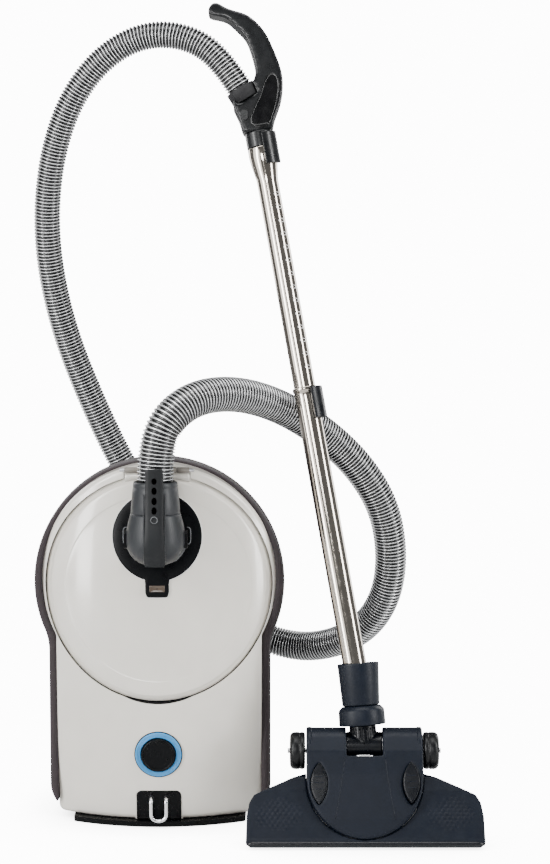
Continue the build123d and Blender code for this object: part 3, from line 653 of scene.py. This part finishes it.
def make_bumper(materials):
    """The padded belt: a crowned strip carried along the casing's outline."""
    low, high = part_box("bumper")[0][1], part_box("bumper")[1][1]
    middle, half = (low + high) / 2, (high - low) / 2
    section = []
    for step in range(25):
        angle = math.pi * step / 24
        across = -math.cos(angle)
        section.append((middle + half * math.copysign(abs(across) ** 0.62, across),
                        math.sin(angle) ** 0.42))
    rows, verts, coords = [], [], []
    travelled = 0.0
    before = None
    for x, z, out_x, out_z in belt_path():
        depth = belt_depth(x, z, out_x, out_z)
        if depth < 0.8 * MM:
            continue
        if before:
            travelled += math.hypot(x - before[0], z - before[1])
        before = (x, z)
        girth = 0.0
        row, previous = [], None
        for y, out in section:
            sunk = (depth + 0.4 * MM) * (1 - out)
            point = (x - out_x * sunk, y, z - out_z * sunk)
            if previous:
                girth += (Vector(point) - Vector(previous)).length
            previous = point
            coords.append((travelled, girth))
            row.append(len(verts))
            verts.append(point)
        rows.append(row)
    faces = []
    for one, two in zip(rows, rows[1:]):
        for a, b in zip(range(len(one) - 1), range(1, len(one))):
            faces.append((one[a], one[b], two[b], two[a]))
        faces.append((one[-1], one[0], two[0], two[-1]))
    faces += [tuple(rows[0]), tuple(reversed(rows[-1]))]
    belt = add_mesh("bumper_belt", verts, faces, materials["belt"])
    layer = belt.data.uv_layers.new(name="UVMap")
    for loop in belt.data.loops:
        layer.data[loop.index].uv = coords[loop.vertex_index]
    tidy_normals(belt)
    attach(belt, "canister")
    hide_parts("bumper")


# ================================ lathe and loft helpers ==========================================
def lathe(name, profile, place, material, sides=72, cap=True):
    """A turned piece: (radius, height) pairs in millimetres about the Z axis of a placing matrix."""
    rings = []
    for radius, height in profile:
        rings.append([place @ Vector((radius * MM * math.cos(angle), radius * MM * math.sin(angle),
                                      height * MM)) for angle in turns(sides)])
    return rings_to_mesh(name, rings, material, cap=cap)


def frame_matrix(origin, along, across):
    """A matrix whose Z is along and whose X is as near to across as it can be."""
    z_axis = Vector(along).normalized()
    x_axis = Vector(across)
    x_axis = (x_axis - z_axis * x_axis.dot(z_axis)).normalized()
    y_axis = z_axis.cross(x_axis)
    made = Matrix.Identity(4)
    for row in range(3):
        made[row][0], made[row][1], made[row][2] = x_axis[row], y_axis[row], z_axis[row]
        made[row][3] = Vector(origin)[row]
    return made


BODY_OF = {node: body for body, names in frame["record"]["behaviour"]["bodies"].items()
           for node in names}


def stands_for(piece, slot, *nodes):
    """The piece takes the place of these CAD nodes and moves with the first one's body."""
    keep(piece, BODY_OF[nodes[0]], slot, *nodes)


def rounded(name, node, slot, material, voxel, passes, share=1.0):
    """A CAD node's shape with its edges softened: voxels, smoothing, then fewer faces."""
    holder = add_object(name + "_source", NODES[node].data.copy())
    grid = holder.modifiers.new("grid", "REMESH")
    grid.mode = "VOXEL"
    grid.voxel_size = voxel * MM
    soften = holder.modifiers.new("soften", "SMOOTH")
    soften.factor = 0.5
    soften.iterations = passes
    if share < 1:
        thin = holder.modifiers.new("thin", "DECIMATE")
        thin.ratio = share
    bpy.context.view_layer.update()
    graph = bpy.context.evaluated_depsgraph_get()
    mesh = bpy.data.meshes.new_from_object(holder.evaluated_get(graph))
    bpy.data.objects.remove(holder)
    mesh.name = name
    mesh.shade_smooth()
    mesh.materials.clear()
    mesh.materials.append(material)
    made = add_object(name, mesh)
    stands_for(made, slot, node)
    return made


def joint_place(name):
    """A joint's point and axis in the object's frame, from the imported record."""
    joint = [j for j in frame["record"]["behaviour"]["joints"] if j["name"] == name][0]
    return Vector(joint.get("pos_m", (0, 0, 0))), Vector(joint["axis"]).normalized()


def keep(piece, body, slot, *nodes):
    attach(piece, body)
    if nodes:
        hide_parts(*nodes)


# ================================ inlet, elbow and strap ==========================================
INLET_Z = 368.0 * MM
INLET_R = 55.0
INLET_BORE_R = 34.0
BALL_PLACE = Vector((0, -150.0, 372.0)) * MM
CUFF_Y = -152.0 * MM
# the elbow from its bottom to the seam: (height, half width, depth in front, depth behind)
ELBOW_SECTIONS = [
    (337.4, 3, 3, 3), (338.6, 12.5, 11, 11), (341.5, 21, 18.5, 18.5), (346, 27.2, 25, 25),
    (352, 31.8, 30, 29), (359, 34.9, 33.4, 32), (366, 36.2, 35, 33.4), (373, 36.2, 35, 34),
    (380, 35.6, 34.6, 34), (387, 34.4, 33.4, 33), (394, 32.8, 32, 31.6), (400, 31.0, 30.9, 30.4),
    (402.2, 30.4, 30.4, 29.9), (402.6, 29.4, 29.4, 29.2)]
CUFF_SECTIONS = [
    (402.7, 28.8, 28.8, 28.8), (403.1, 29.7, 29.7, 29.6), (404.5, 30.2, 30.2, 29.9),
    (415, 29.4, 29.4, 29.2), (428, 28.2, 28.2, 28.0), (434.6, 27.5, 27.5, 27.3),
    (435.2, 27.0, 27.0, 26.8), (436.0, 27.4, 27.4, 27.2), (440, 27.0, 27.0, 26.8),
    (441.6, 26.3, 26.3, 26.2), (441.9, 25.2, 25.2, 25.2), (441.2, 22.8, 22.8, 22.8),
    (430, 22.6, 22.6, 22.6)]
FRONT_SECTIONS = ELBOW_SECTIONS + CUFF_SECTIONS[2:6]
RIB_X = 12.6
BRACKET_LINE = [(36.5, 380), (39.4, 379.6), (41.0, 377.6), (41.4, 373), (41.4, 366), (41.0, 361.4),
                (39.4, 359.4), (36.5, 359)]


def stack(name, sections, material, lean=0.0):
    """Oval rings one above the other, deeper in front than behind."""
    rings = []
    for height, half, front, behind in sections:
        z = height * MM
        middle = BALL_PLACE.y + (CUFF_Y - BALL_PLACE.y) * min(max((z - BALL_PLACE.z) / (30 * MM), 0), 1)
        ring = []
        for angle in turns(64):
            side = math.sin(angle)
            depth = front if side < 0 else behind
            tilt = lean * math.cos(angle) ** 2 * MM
            ring.append((half * MM * math.cos(angle), middle + depth * MM * side, z + tilt))
        rings.append(ring)
    return rings_to_mesh(name, rings, material, cap=True)


def make_elbow(materials):
    elbow = stack("elbow_ball", ELBOW_SECTIONS, materials["elbow"])
    keep(elbow, "lid", "elbow_grey", "hose_elbow")
    neck = frame_matrix((0, 0, INLET_Z), (0, -1, 0), (1, 0, 0))
    rim = lathe("elbow_spigot", [(31.0, 108), (32.4, 108), (32.6, 122), (33.4, 124.2), (33.8, 125.4),
                                 (33.8, 127.4), (33.2, 128.6), (32.2, 130), (31.0, 141)], neck,
                materials["elbow"], cap=False)
    keep(rim, "lid", "elbow_grey")
    cuff = stack("cuff_sleeve", CUFF_SECTIONS, materials["elbow"], lean=-1.2)
    keep(cuff, "lid", "elbow_grey", "hose_cuff")
    for side, name in SIDES:
        rib = []
        for height in range(344, 432, 4):
            half, front = section_at(FRONT_SECTIONS, height)
            depth = front * MM * math.sqrt(max(1 - (RIB_X / half) ** 2, 0.02))
            rib.append(Vector((side * RIB_X * MM, CUFF_Y - depth - 0.1 * MM, height * MM)))
        add_bead("elbow_rib_" + name, rib, 0.9, materials["elbow"], "lid", "elbow_grey")
    # Grey beads along the clip brackets' outlines and round the ball's recess are painted highlights.
    for side, name in SIDES:
        hook = [Vector((side * x * MM, bulge_y(side * x * MM, z * MM, 4.6 * MM), z * MM))
                for x, z in BRACKET_LINE]
        add_bead("clip_bracket_highlight_" + name, hook, 0.7, materials["edge"], "lid", "black_plastic")
    rim = [Vector((37.2 * MM * math.cos(a), bulge_y(0, BALL_PLACE.z, 2.6 * MM),
                   BALL_PLACE.z - 4 * MM + 37.2 * MM * math.sin(a)))
           for a in [math.radians(-172 + 8 * step) for step in range(21)]]
    add_bead("elbow_recess_highlight", rim, 0.75, materials["edge"], "lid", "black_plastic")


STRAP_ROWS = [(459.0, 8.8), (458.4, 9.9), (457, 10.5), (455, 10.8), (448, 10.8), (440, 10.8), (430, 10.9),
              (420, 10.9), (410, 11.0), (400, 11.1), (390, 11.4), (380, 11.8), (370, 12.2), (360, 12.6),
              (352, 12.8), (346, 12.8), (342, 12.3), (340, 11.2)]
STRAP_SECTION = [(-1, 2.0), (-1, 0.7), (-0.94, 0.0), (-0.5, 0), (0, 0), (0.5, 0), (0.94, 0), (1, 0.7),
                 (1, 2.0), (0.5, 2.2), (-0.5, 2.2)]
STUD_Z = 398.3
# four holes and the stud: (height, half width, half height)
STRAP_HOLES = [(444.7, 2.5, 3.2), (433.1, 2.6, 3.7), (420.9, 2.6, 3.7), (409.3, 2.6, 3.7),
               (STUD_Z, 4.4, 4.4)]


def strap_front(x, z):
    """The strap's outer face over the elbow and cuff, and straight above them."""
    half, front = section_at(FRONT_SECTIONS, min(max(z, 347.0), 434.0))
    depth = front * math.sqrt(max(1 - (0.7 * x / half) ** 2, 0.05))
    return CUFF_Y - (depth + 2.1) * MM


def make_strap(materials):
    rings = []
    for z, half in STRAP_ROWS:
        rings.append([(half * share * MM, strap_front(half * share, z) + back * MM, z * MM)
                      for share, back in STRAP_SECTION])
    strap = rings_to_mesh("strap_band", rings, materials["strap"], cap=True)
    stands_for(strap, "strap_rubber", "strap")
    # Each hole is a shallow dish painted near black, as painted shade where the strap opens onto the cuff;
    # the stud keeps the strap's colour.
    for index, (z, half, tall) in enumerate(STRAP_HOLES):
        stud = z == STUD_Z
        rings = []
        for share, out in ((1.2, 0.02), (1.12, -0.4), (1.02, -0.4), (0.94, -0.1 if stud else -0.3),
                           (0.05, -0.55 if stud else -0.32)):
            spots = [(half * share * math.cos(a), z + tall * share * math.sin(a)) for a in turns(32)]
            rings.append([(x * MM, strap_front(x, high) + (out - 0.1) * MM, high * MM)
                          for x, high in spots])
        hole = rings_to_mesh("strap_hole_%d" % index, rings, materials["strap" if stud else "hole_shade"],
                             cap=True)
        keep(hole, BODY_OF["strap"], "black_plastic")
    # a grey ring round the stud: painted highlight
    line = [Vector((4.0 * math.cos(a) * MM, strap_front(0, STUD_Z) - 0.5 * MM,
                    (STUD_Z + 4.0 * math.sin(a)) * MM)) for a in turns(40) + [2 * math.pi]]
    add_bead("strap_stud_highlight", line, 0.55, materials["edge"], BODY_OF["strap"], "black_plastic", 8)


def add_bead(name, points, radius, material, body, slot, sides=12):
    keep(bead(name, points, radius * MM, material, sides), body, slot)


def section_at(sections, height):
    for low, high in zip(sections, sections[1:]):
        if low[0] <= height <= high[0]:
            share = (height - low[0]) / max(high[0] - low[0], 1e-6)
            return [low[i] + (high[i] - low[i]) * share for i in (1, 2)]
    return sections[-1][1:3]


def bead(name, points, radius, material, sides=12):
    """A thin round bead along a line, with closed ends."""
    rings = []
    side = Vector((0.3, 1, 0.2))
    for index, point in enumerate(points):
        along = (points[min(index + 1, len(points) - 1)] - points[max(index - 1, 0)]).normalized()
        side = (side - along * side.dot(along)).normalized()
        up = along.cross(side)
        rings.append([point + (side * math.cos(a) + up * math.sin(a)) * radius for a in turns(sides)])
    return rings_to_mesh(name, rings, material, cap=True)


# ================================ dial ============================================================
def make_dial(materials):
    place, axis = joint_place("power_ring_turn")
    centre = frame_matrix(place, axis, (1, 0, 0))
    rim = [(21.9, -7), (28.8, -7), (28.8, 0.4), (28.6, 1.0), (28.0, 1.5), (27.4, 1.8)]
    for groove in range(5):
        radius = 26.9 - 0.95 * groove
        rim += [(radius, 1.8), (radius - 0.18, 1.45), (radius - 0.42, 1.45), (radius - 0.6, 1.8)]
    rim += [(22.6, 1.7), (22.1, 1.2), (21.9, 0.4)]
    ring = lathe("dial_ring", rim + [rim[0]], centre, materials["blue"], 128, cap=False)
    keep(ring, "power_ring", "dial_blue", "power_ring")
    knob = [(0.4, -6), (21.5, -6), (21.5, 2.6), (21.3, 3.8), (20.7, 4.8), (19.8, 5.4), (19.0, 5.5),
            (18.7, 5.2), (18.4, 4.7), (18.0, 4.5), (12, 4.5), (6, 4.5), (0.4, 4.5)]
    button = lathe("dial_button", knob, centre, materials["black"], 128)
    keep(button, "power_button", "black_plastic", "power_button")
    seat = lathe("dial_seat", [(28.85, -1), (28.85, 0.35), (29.5, 0.5), (29.9, 0.1), (29.9, -1)],
                 centre, materials["black"], 128, cap=False)
    keep(seat, "canister", "black_plastic")


# ================================ wheels ==========================================================
def node_middle(name):
    low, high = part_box(name)
    return (Vector(low) + Vector(high)) / 2


def make_wheels(materials):
    for side, name in SIDES:
        place = frame_matrix(node_middle("head_wheel_" + name), (side, 0, 0), (0, 0, 1))
        profile = [(3.2, -9.5), (20.6, -9.5), (22.0, -8.6), (22.7, -7.0), (22.8, -4.2), (22.3, -3.6),
                   (21.9, -3.0), (22.3, -2.4), (22.8, -1.8), (22.8, 3.2), (22.2, 5.8), (20.6, 8.0),
                   (18.2, 9.0), (17.4, 9.2), (16.9, 8.6), (16.3, 8.2), (15.7, 8.6), (14.8, 9.3),
                   (10, 9.5), (7.2, 9.5), (6.9, 8.9), (6.4, 8.9), (6.1, 9.5), (3.2, 9.5), (3.2, -9.5)]
        wheel = lathe("head_tyre_" + name, profile, place, materials["tyre"], 96, cap=False)
        keep(wheel, "head_wheel_" + name, "tyre_black", "head_wheel_" + name)
    for spot in "abcd":
        node = "castor_wheel_" + spot
        low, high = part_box(node)
        middle, radius = node_middle(node), (high[2] - low[2]) / 2 / MM
        profile = [(0.3, 3.5), (3.0, 3.5), (radius - 2.4, 3.5), (radius - 0.9, 4.1), (radius, 5.6),
                   (radius, 12.0), (radius - 0.9, 13.4), (radius - 2.6, 14.0), (radius - 4.6, 14.0),
                   (radius - 5.2, 13.2), (radius - 6.0, 13.2), (5.6, 13.4), (4.8, 14.0), (0.3, 14.0)]
        for side, name in SIDES:
            wheel = lathe("castor_tyre_%s_%s" % (spot, name), profile,
                          frame_matrix(middle, (side, 0, 0), (0, 0, 1)), materials["tyre"], 64)
            keep(wheel, node, "tyre_black", *([node] if name == "right" else []))
        pin = lathe("castor_pin_" + spot, [(0.3, -4), (3.0, -4), (3.0, 4), (0.3, 4)],
                    frame_matrix(middle, (1, 0, 0), (0, 0, 1)), materials["steel"], 24)
        keep(pin, node, "steel")


# ================================ handle and wand =================================================
HEAD_X = 254.5 * MM
LIP_Y = -207.0 * MM
LIP_Z = 0.3 * MM
HEAD_PITCH = math.radians(51.0)
AXLE_U = 125.0
AXLE_N = 22.5
NECK_DIR = (-0.072, 0.193, 0.978)
WAND_DIR = (-0.1756, 0.1909, 0.9657)
WAND_SHIFT = 6.6
UPPER_R = 13.4           # the wand's two tubes
LOWER_R = 14.6
HEAD_FRAME = frame_matrix((HEAD_X, LIP_Y, LIP_Z), (0, -math.sin(HEAD_PITCH), math.cos(HEAD_PITCH)),
                          (1, 0, 0))


def upright(direction, shift):
    pivot = HEAD_FRAME @ (Vector((0, AXLE_U, AXLE_N)) * MM)
    return frame_matrix(pivot + Vector((shift * MM, 0, 0)), direction, (1, 0, 0))


def make_handle(materials):
    rounded("handle_shell", "handle_body", "handle_black", materials["handle"], 1.5, 22)
    rounded("handle_inlay", "handle_panel", "handle_panel", materials["panel"], 0.5, 3, 0.3)
    place = upright(WAND_DIR, WAND_SHIFT)
    seam = [(15, 784), (22, 797), (32, 818), (35.5, 838), (29, 846), (18.8, 838), (11, 821),
            (-4, 800), (-8, 789), (-4, 783), (15, 784)]
    line = curve_points("panel_line", [place @ (Vector((x, -16.2, t)) * MM) for x, t in seam])
    add_bead("panel_seam", line[::2], 0.7, materials["bright_black"], BODY_OF["handle_panel"],
             "handle_black", 8)
    rounded("release_button", "handle_release", "handle_black", materials["handle"], 0.8, 6, 0.5)
    rounded("collar_sleeve", "tube_collar", "handle_black", materials["handle"], 0.8, 3, 0.5)
    rounded("lock_slider", "tube_lock", "head_dark", materials["head_dark"], 0.8, 6, 0.5)


def make_tubes(materials):
    place = upright(WAND_DIR, WAND_SHIFT)
    upper = lathe("upper_tube_skin", [(12.4, 300), (13.2, 300), (UPPER_R, 300.4)]
                  + [(UPPER_R, 300 + 10 * step) for step in range(1, 42)]
                  + [(UPPER_R, 713), (13.6, 717), (14.3, 722), (15.4, 729), (16.6, 737), (17.3, 742),
                     (17.6, 746), (17.6, 756), (17.3, 757), (16.5, 757), (16.4, 745)],
                  place, materials["tube"], 96, cap=False)
    stands_for(upper, "tube_chrome", "upper_tube")
    lower = lathe("lower_tube_skin", [(13.48, 60), (LOWER_R, 60)]
                  + [(LOWER_R, 60 + 10 * step) for step in range(1, 39)]
                  + [(LOWER_R, 444.4), (15.0, 444.8), (15.6, 445.3), (15.6, 449.2), (15.2, 450),
                     (13.48, 450)], place, materials["tube"], 96, cap=False)
    stands_for(lower, "tube_chrome", "lower_tube")
    end = Vector(HOSE_ROUTE_MM[-1]) * MM
    along = end - Vector(HOSE_ROUTE_MM[-2]) * MM
    cuff = lathe("hose_end_sleeve",
                 [(17.4, -7), (17.8, -7.6), (18.6, -7.4), (19.0, -6.4), (19.0, 8.6), (2, 8.6)],
                 frame_matrix(end, along, (0, 1, 0)), materials["rubber"], 72)
    stands_for(cuff, "handle_black", "handle_cuff")


NOTCHES = 14
NOTCH_TOP_T = 695.0      # the highest notch, along the wand
NOTCH_PITCH = 17.0
NOTCH_SIDES = 20
NOTCH_TURN = math.radians(-50)
# from the rim to the bottom: (share of the oval, depth)
NOTCH_RINGS = [(1.0, 0.03), (0.82, 0.01), (0.45, -0.5), (0.05, -0.7)]


def make_notches(materials):
    """Pressed ovals along the upper tube, painted bright near white: a painted highlight."""
    place = upright(WAND_DIR, WAND_SHIFT)
    verts, faces = [], []
    for step in range(NOTCHES):
        t = NOTCH_TOP_T - NOTCH_PITCH * step
        base = len(verts)
        for share, depth in NOTCH_RINGS:
            for angle in turns(NOTCH_SIDES):
                around = NOTCH_TURN + 4.6 * share * math.cos(angle) / UPPER_R
                along = t + 2.3 * share * math.sin(angle)
                radius = UPPER_R + depth
                verts.append(place @ (Vector((radius * math.cos(around), radius * math.sin(around),
                                              along)) * MM))
        faces += ring_faces(len(NOTCH_RINGS), NOTCH_SIDES, base)
        faces.append(tuple(range(len(verts) - NOTCH_SIDES, len(verts))))
    made = add_mesh("tube_notches", verts, faces, materials["bright"])
    tidy_normals(made)
    keep(made, BODY_OF["upper_tube"], "steel")


# ================================ floor head ======================================================
def head_point(x, u, n):
    return HEAD_FRAME @ (Vector((x, u, n)) * MM)


NOZZLE_SLOPE = 11 / 58
# one scale, from its foot to its crown: (share of the oval, share of the height)
SCALE_RINGS = [(1.0, -0.06), (0.6, 0.75), (0.25, 1.0)]
SCALE_SIDES = 12


def nozzle_top(u):
    return 10 + (u - 8) * NOZZLE_SLOPE if u < 66 else 21 + (u - 66) / 18


HOUSING_LINE = [(0, 9), (30, 21), (80, 38), (108, 45)]


def housing_top(u):
    for (low_u, low_n), (high_u, high_n) in zip(HOUSING_LINE, HOUSING_LINE[1:]):
        if u <= high_u:
            return low_n + (high_n - low_n) * (u - low_u) / (high_u - low_u)
    return 45.0


def make_head(materials):
    rounded("nozzle_shell", "nozzle_body", "head_navy", materials["head"], 1.1, 4, 0.4)
    rounded("housing_shell", "head_housing", "head_navy", materials["head"], 1.1, 7, 0.4)
    neck = upright(NECK_DIR, 0)
    cup = lathe("socket_shell",
                [(15.2, 50.1), (21.6, 50.1), (22.7, 50.6), (23.0, 51.6), (25.4, 99.4), (25.5, 101.0),
                 (25.0, 101.8), (23.4, 102.1), (22.4, 101.6), (22.2, 100.4), (22.2, 86.0),
                 (21.6, 85.6), (15.2, 85.6)], neck, materials["head"], 96, cap=False)
    stands_for(cup, "head_navy", "neck_socket")
    cuff = lathe("collar_shell",
                 [(13.5, 25.8), (27.2, 25.8), (28.3, 26.3), (28.7, 27.4), (28.2, 43.3), (27.7, 45.0),
                  (24.6, 48.4), (23.6, 49.2), (22.6, 49.5), (13.5, 49.5)], neck,
                 materials["head"], 96, cap=False)
    stands_for(cuff, "head_navy", "swivel_collar")
    rounded("barrel_shell", "pivot_barrel", "head_dark", materials["head_dark"], 0.9, 3, 0.4)
    for name in ("left", "right"):
        rounded("pedal_shell_" + name, "pedal_" + name, "head_dark", materials["head_dark"], 0.7, 5, 0.5)
    # a rounded strip along the lip
    rows = []
    for step in range(41):
        x = -144.0 + 288.0 * step / 40
        pull = 1.0 if 0 < step < 40 else 0.55
        rows.append([head_point(x, 3.6 + 3.4 * pull * math.cos(angle), 6.2 + 3.0 * pull * math.sin(angle))
                     for angle in turns(14)])
    strip = rings_to_mesh("lip_strip", rows, materials["head_lip"], cap=True)
    keep(strip, BODY_OF["nozzle_body"], "head_dark")
    # low scales in offset rows on both wings
    verts, faces = [], []
    for side in (-1, 1):
        for row in range(9):
            u = 20 + 4.6 * row
            for column in range(9):
                x = side * (78 + 6.6 * column + (3.3 if row % 2 else 0))
                edge = abs(row - 4) / 4.6 + abs(column - 4) / 5.2
                if edge > 1.25 or abs(x) > 134 or (u > 50 and abs(x) > 126):
                    continue
                lift = 0.42 * min(1.0, 1.5 - edge)
                base = len(verts)
                for share, up in SCALE_RINGS:
                    for angle in turns(SCALE_SIDES):
                        du = 2.0 * share * math.sin(angle)
                        verts.append(head_point(x + 3.0 * share * math.cos(angle), u + du,
                                                nozzle_top(u) + NOZZLE_SLOPE * du + lift * up))
                faces += ring_faces(len(SCALE_RINGS), SCALE_SIDES, base)
                faces.append(tuple(range(len(verts) - SCALE_SIDES, len(verts))))
    scales = add_mesh("wing_scales", verts, faces, materials["head"])
    tidy_normals(scales)
    keep(scales, BODY_OF["nozzle_body"], "head_navy")
    # two creases running down from the slot, the ears at the rear corners, and the pedals' ribs
    housing = BODY_OF["head_housing"]
    for side, name in SIDES:
        line = []
        for step in range(17):
            u = 100 - 4.4 * step
            x = side * (25.0 + 0.045 * (100 - u) ** 1.3)
            line.append(head_point(x, u, housing_top(u) - 0.1))
        add_bead("housing_crease_" + name, line, 0.55, materials["head"], housing, "head_navy")
        ear = lathe("housing_ear_" + name,
                    [(15, -3.2), (23.0, -3.2), (23.6, -2.2), (23.6, 1.6), (22.6, 2.8), (15, 2.8)],
                    frame_matrix(head_point(side * 67.6, AXLE_U, AXLE_N), (side, 0, 0), (0, 0, 1)),
                    materials["head"], 72)
        keep(ear, housing, "head_navy")
        for groove in range(3):
            u = 63 + 7 * groove
            half = 6.4 - 1.4 * abs(groove - 1)
            lift = 1.0 if side < 0 else 5.0
            line = [head_point(side * 56 + half * (step / 5 - 1), u + 0.15 * half * abs(step / 5 - 1),
                               housing_top(u) + lift + 0.15) for step in range(11)]
            add_bead("pedal_rib_%s_%d" % (name, groove), line, 0.5, materials["head"],
                     BODY_OF["pedal_" + name], "head_navy", 8)
    add_bead("slot_strip", [head_point(x, 102.4, 43.8) for x in (-10, -5, 0, 5, 10)], 1.1,
             materials["chrome"], housing, "chrome_wire")
    # ribs round the neck's stalk
    for index in range(9):
        angle = math.radians(-90 + 16 * (index - 4))
        line = [neck @ (Vector((16.7 * math.cos(angle), 16.7 * math.sin(angle), z)) * MM)
                for z in (3, 8, 13, 18, 23)]
        add_bead("stalk_rib_%d" % index, line, 0.8, materials["head_dark"], BODY_OF["pivot_barrel"],
                 "head_dark", 8)


# ================================ plates on the bulged front ======================================
def bulge_plate(name, outer, inner, profile, material):
    """A thin plate on the bulge: rings between two outlines, each (share of the way in, height)."""
    rings = []
    for share, out in profile:
        spots = [(x + (ix - x) * share, z + (iz - z) * share) for (x, z), (ix, iz) in zip(outer, inner)]
        rings.append([Vector((x, bulge_y(x, z, out * MM), z)) for x, z in spots])
    return rings_to_mesh(name, rings, material)


def rounded_box(half, low, high, low_r, high_r, steps=12):
    """A rounded rectangle's outline in x and z, in millimetres."""
    corners = [(half - high_r, high - high_r, high_r, 0), (-half + high_r, high - high_r, high_r, 90),
               (-half + low_r, low + low_r, low_r, 180), (half - low_r, low + low_r, low_r, 270)]
    line = []
    for x, z, radius, start in corners:
        for step in range(steps):
            angle = math.radians(start + 90 * step / (steps - 1))
            line.append(((x + radius * math.cos(angle)) * MM, (z + radius * math.sin(angle)) * MM))
    return line


def make_plates(materials):
    outer = rounded_box(27.8, 8.4, 45.8, 1.0, 7.0)
    middle = [(x * 0.02, 27 * MM + (z - 27 * MM) * 0.02) for x, z in outer]
    plate = bulge_plate("hook_plate_shell", outer, middle,
                        [(0, -1.0), (0, 0.9), (0.02, 1.35), (0.05, 1.5), (0.075, 1.2), (0.1, 0.95),
                         (0.4, 0.95), (0.8, 0.95), (1.0, 0.95)], materials["black"])
    stands_for(plate, "black_plastic", "hook_plate")
    pane = rounded_box(9.5, 300.0, 308.0, 0.9, 0.9)
    middle = [(x * 0.1, 304 * MM + (z - 304 * MM) * 0.1) for x, z in pane]
    glass = bulge_plate("indicator_glass", pane, middle,
                        [(0, 1.2), (0, 2.35), (0.1, 2.5), (0.2, 2.2), (1, 2.2)], materials["lens"])
    stands_for(glass, "lens_amber", "indicator_window")
    rim = bulge_plate("hook_plate_rim", rounded_box(29.6, 8.4, 47.4, 1.0, 2.0),
                      rounded_box(27.9, 8.4, 45.9, 1.0, 7.0),
                      [(0, -0.2), (0.15, 0.25), (0.85, 0.3), (1, -0.2)], materials["cover"])
    keep(rim, BODY_OF["top_cover"], "cover_white")
    for side, name in SIDES:
        leg = [Vector((side * 7.5 * MM, bulge_y(side * 7.5 * MM, z * MM, 0.9 * MM), z * MM))
               for z in (24, 20, 14, 9, 3.5)]
        add_bead("hook_leg_" + name, leg, 2.2, materials["black"], BODY_OF["hook_plate"],
                 "black_plastic")
    for side, name in SIDES:
        slot = [(side * 9.4 * MM + 3.4 * MM * math.cos(a), 34.0 * MM + 6.2 * MM * math.sin(a))
                for a in turns(40)]
        middle = [(side * 9.4 * MM, 34.0 * MM)] * 40
        socket = bulge_plate("hook_socket_" + name, slot, middle,
                             [(0, 0.8), (0.04, 1.3), (0.16, 1.4), (0.3, 1.05), (0.45, 0.98), (0.98, 0.98)],
                             materials["head_dark"])
        keep(socket, BODY_OF["hook_plate"], "head_dark")
    # the inlet ring with its tab
    outer, inner = [], []
    for angle in turns(180):
        dx, dz = math.sin(angle), math.cos(angle)
        reach = INLET_R
        if dz < 0 and abs(dx) < 0.275:
            reach = max(reach, tab_reach(dx, dz))
        outer.append((reach * dx * MM, INLET_Z + reach * dz * MM))
        inner.append((INLET_BORE_R * dx * MM, INLET_Z + INLET_BORE_R * dz * MM))
    # A thin raised lip round the inlet plate, coloured a lighter copy of the cover's white: painted
    # highlight.
    wide = [(x * 1.018, INLET_Z + (z - INLET_Z) * 1.018) for x, z in outer]
    lip_highlight = bulge_plate("inlet_rim_highlight", wide, outer, [(0, -0.2), (0.25, 0.8), (0.75, 0.9), (1, 0.2)],
                       materials["rim"])
    keep(lip_highlight, "lid", "cover_white")
    ring = bulge_plate("inlet_plate", outer, inner,
                       [(0, -0.6), (0, 1.3), (0.02, 1.85), (0.05, 2.05), (0.5, 2.05), (0.94, 2.05),
                        (0.985, 1.8), (1.0, 0.9), (1.0, -0.6)], materials["black"])
    stands_for(ring, "black_plastic", "inlet_ring")


def tab_reach(dx, dz):
    """How far the rounded tab reaches from the inlet's centre in one direction, in millimetres."""
    half, low, corner = 14.6, 368.0 - 293.0, 4.5
    reach = min(low / -dz, half / max(abs(dx), 1e-6))
    cx, cz = half - corner, low - corner
    along = cx * abs(dx) + cz * -dz
    off = corner ** 2 - (cx ** 2 + cz ** 2 - along ** 2)
    if reach * abs(dx) > cx and reach * -dz > cz and off > 0:
        reach = along + math.sqrt(off)
    return reach


# ================================ the whole =======================================================
make_camera()
make_hose()
make_stage()
MATERIALS = make_materials()
dress_cad(MATERIALS)
for make in (make_lid, make_bumper, make_elbow, make_dial, make_wheels, make_handle, make_tubes,
             make_notches, make_strap, make_head, make_plates):
    make(MATERIALS)
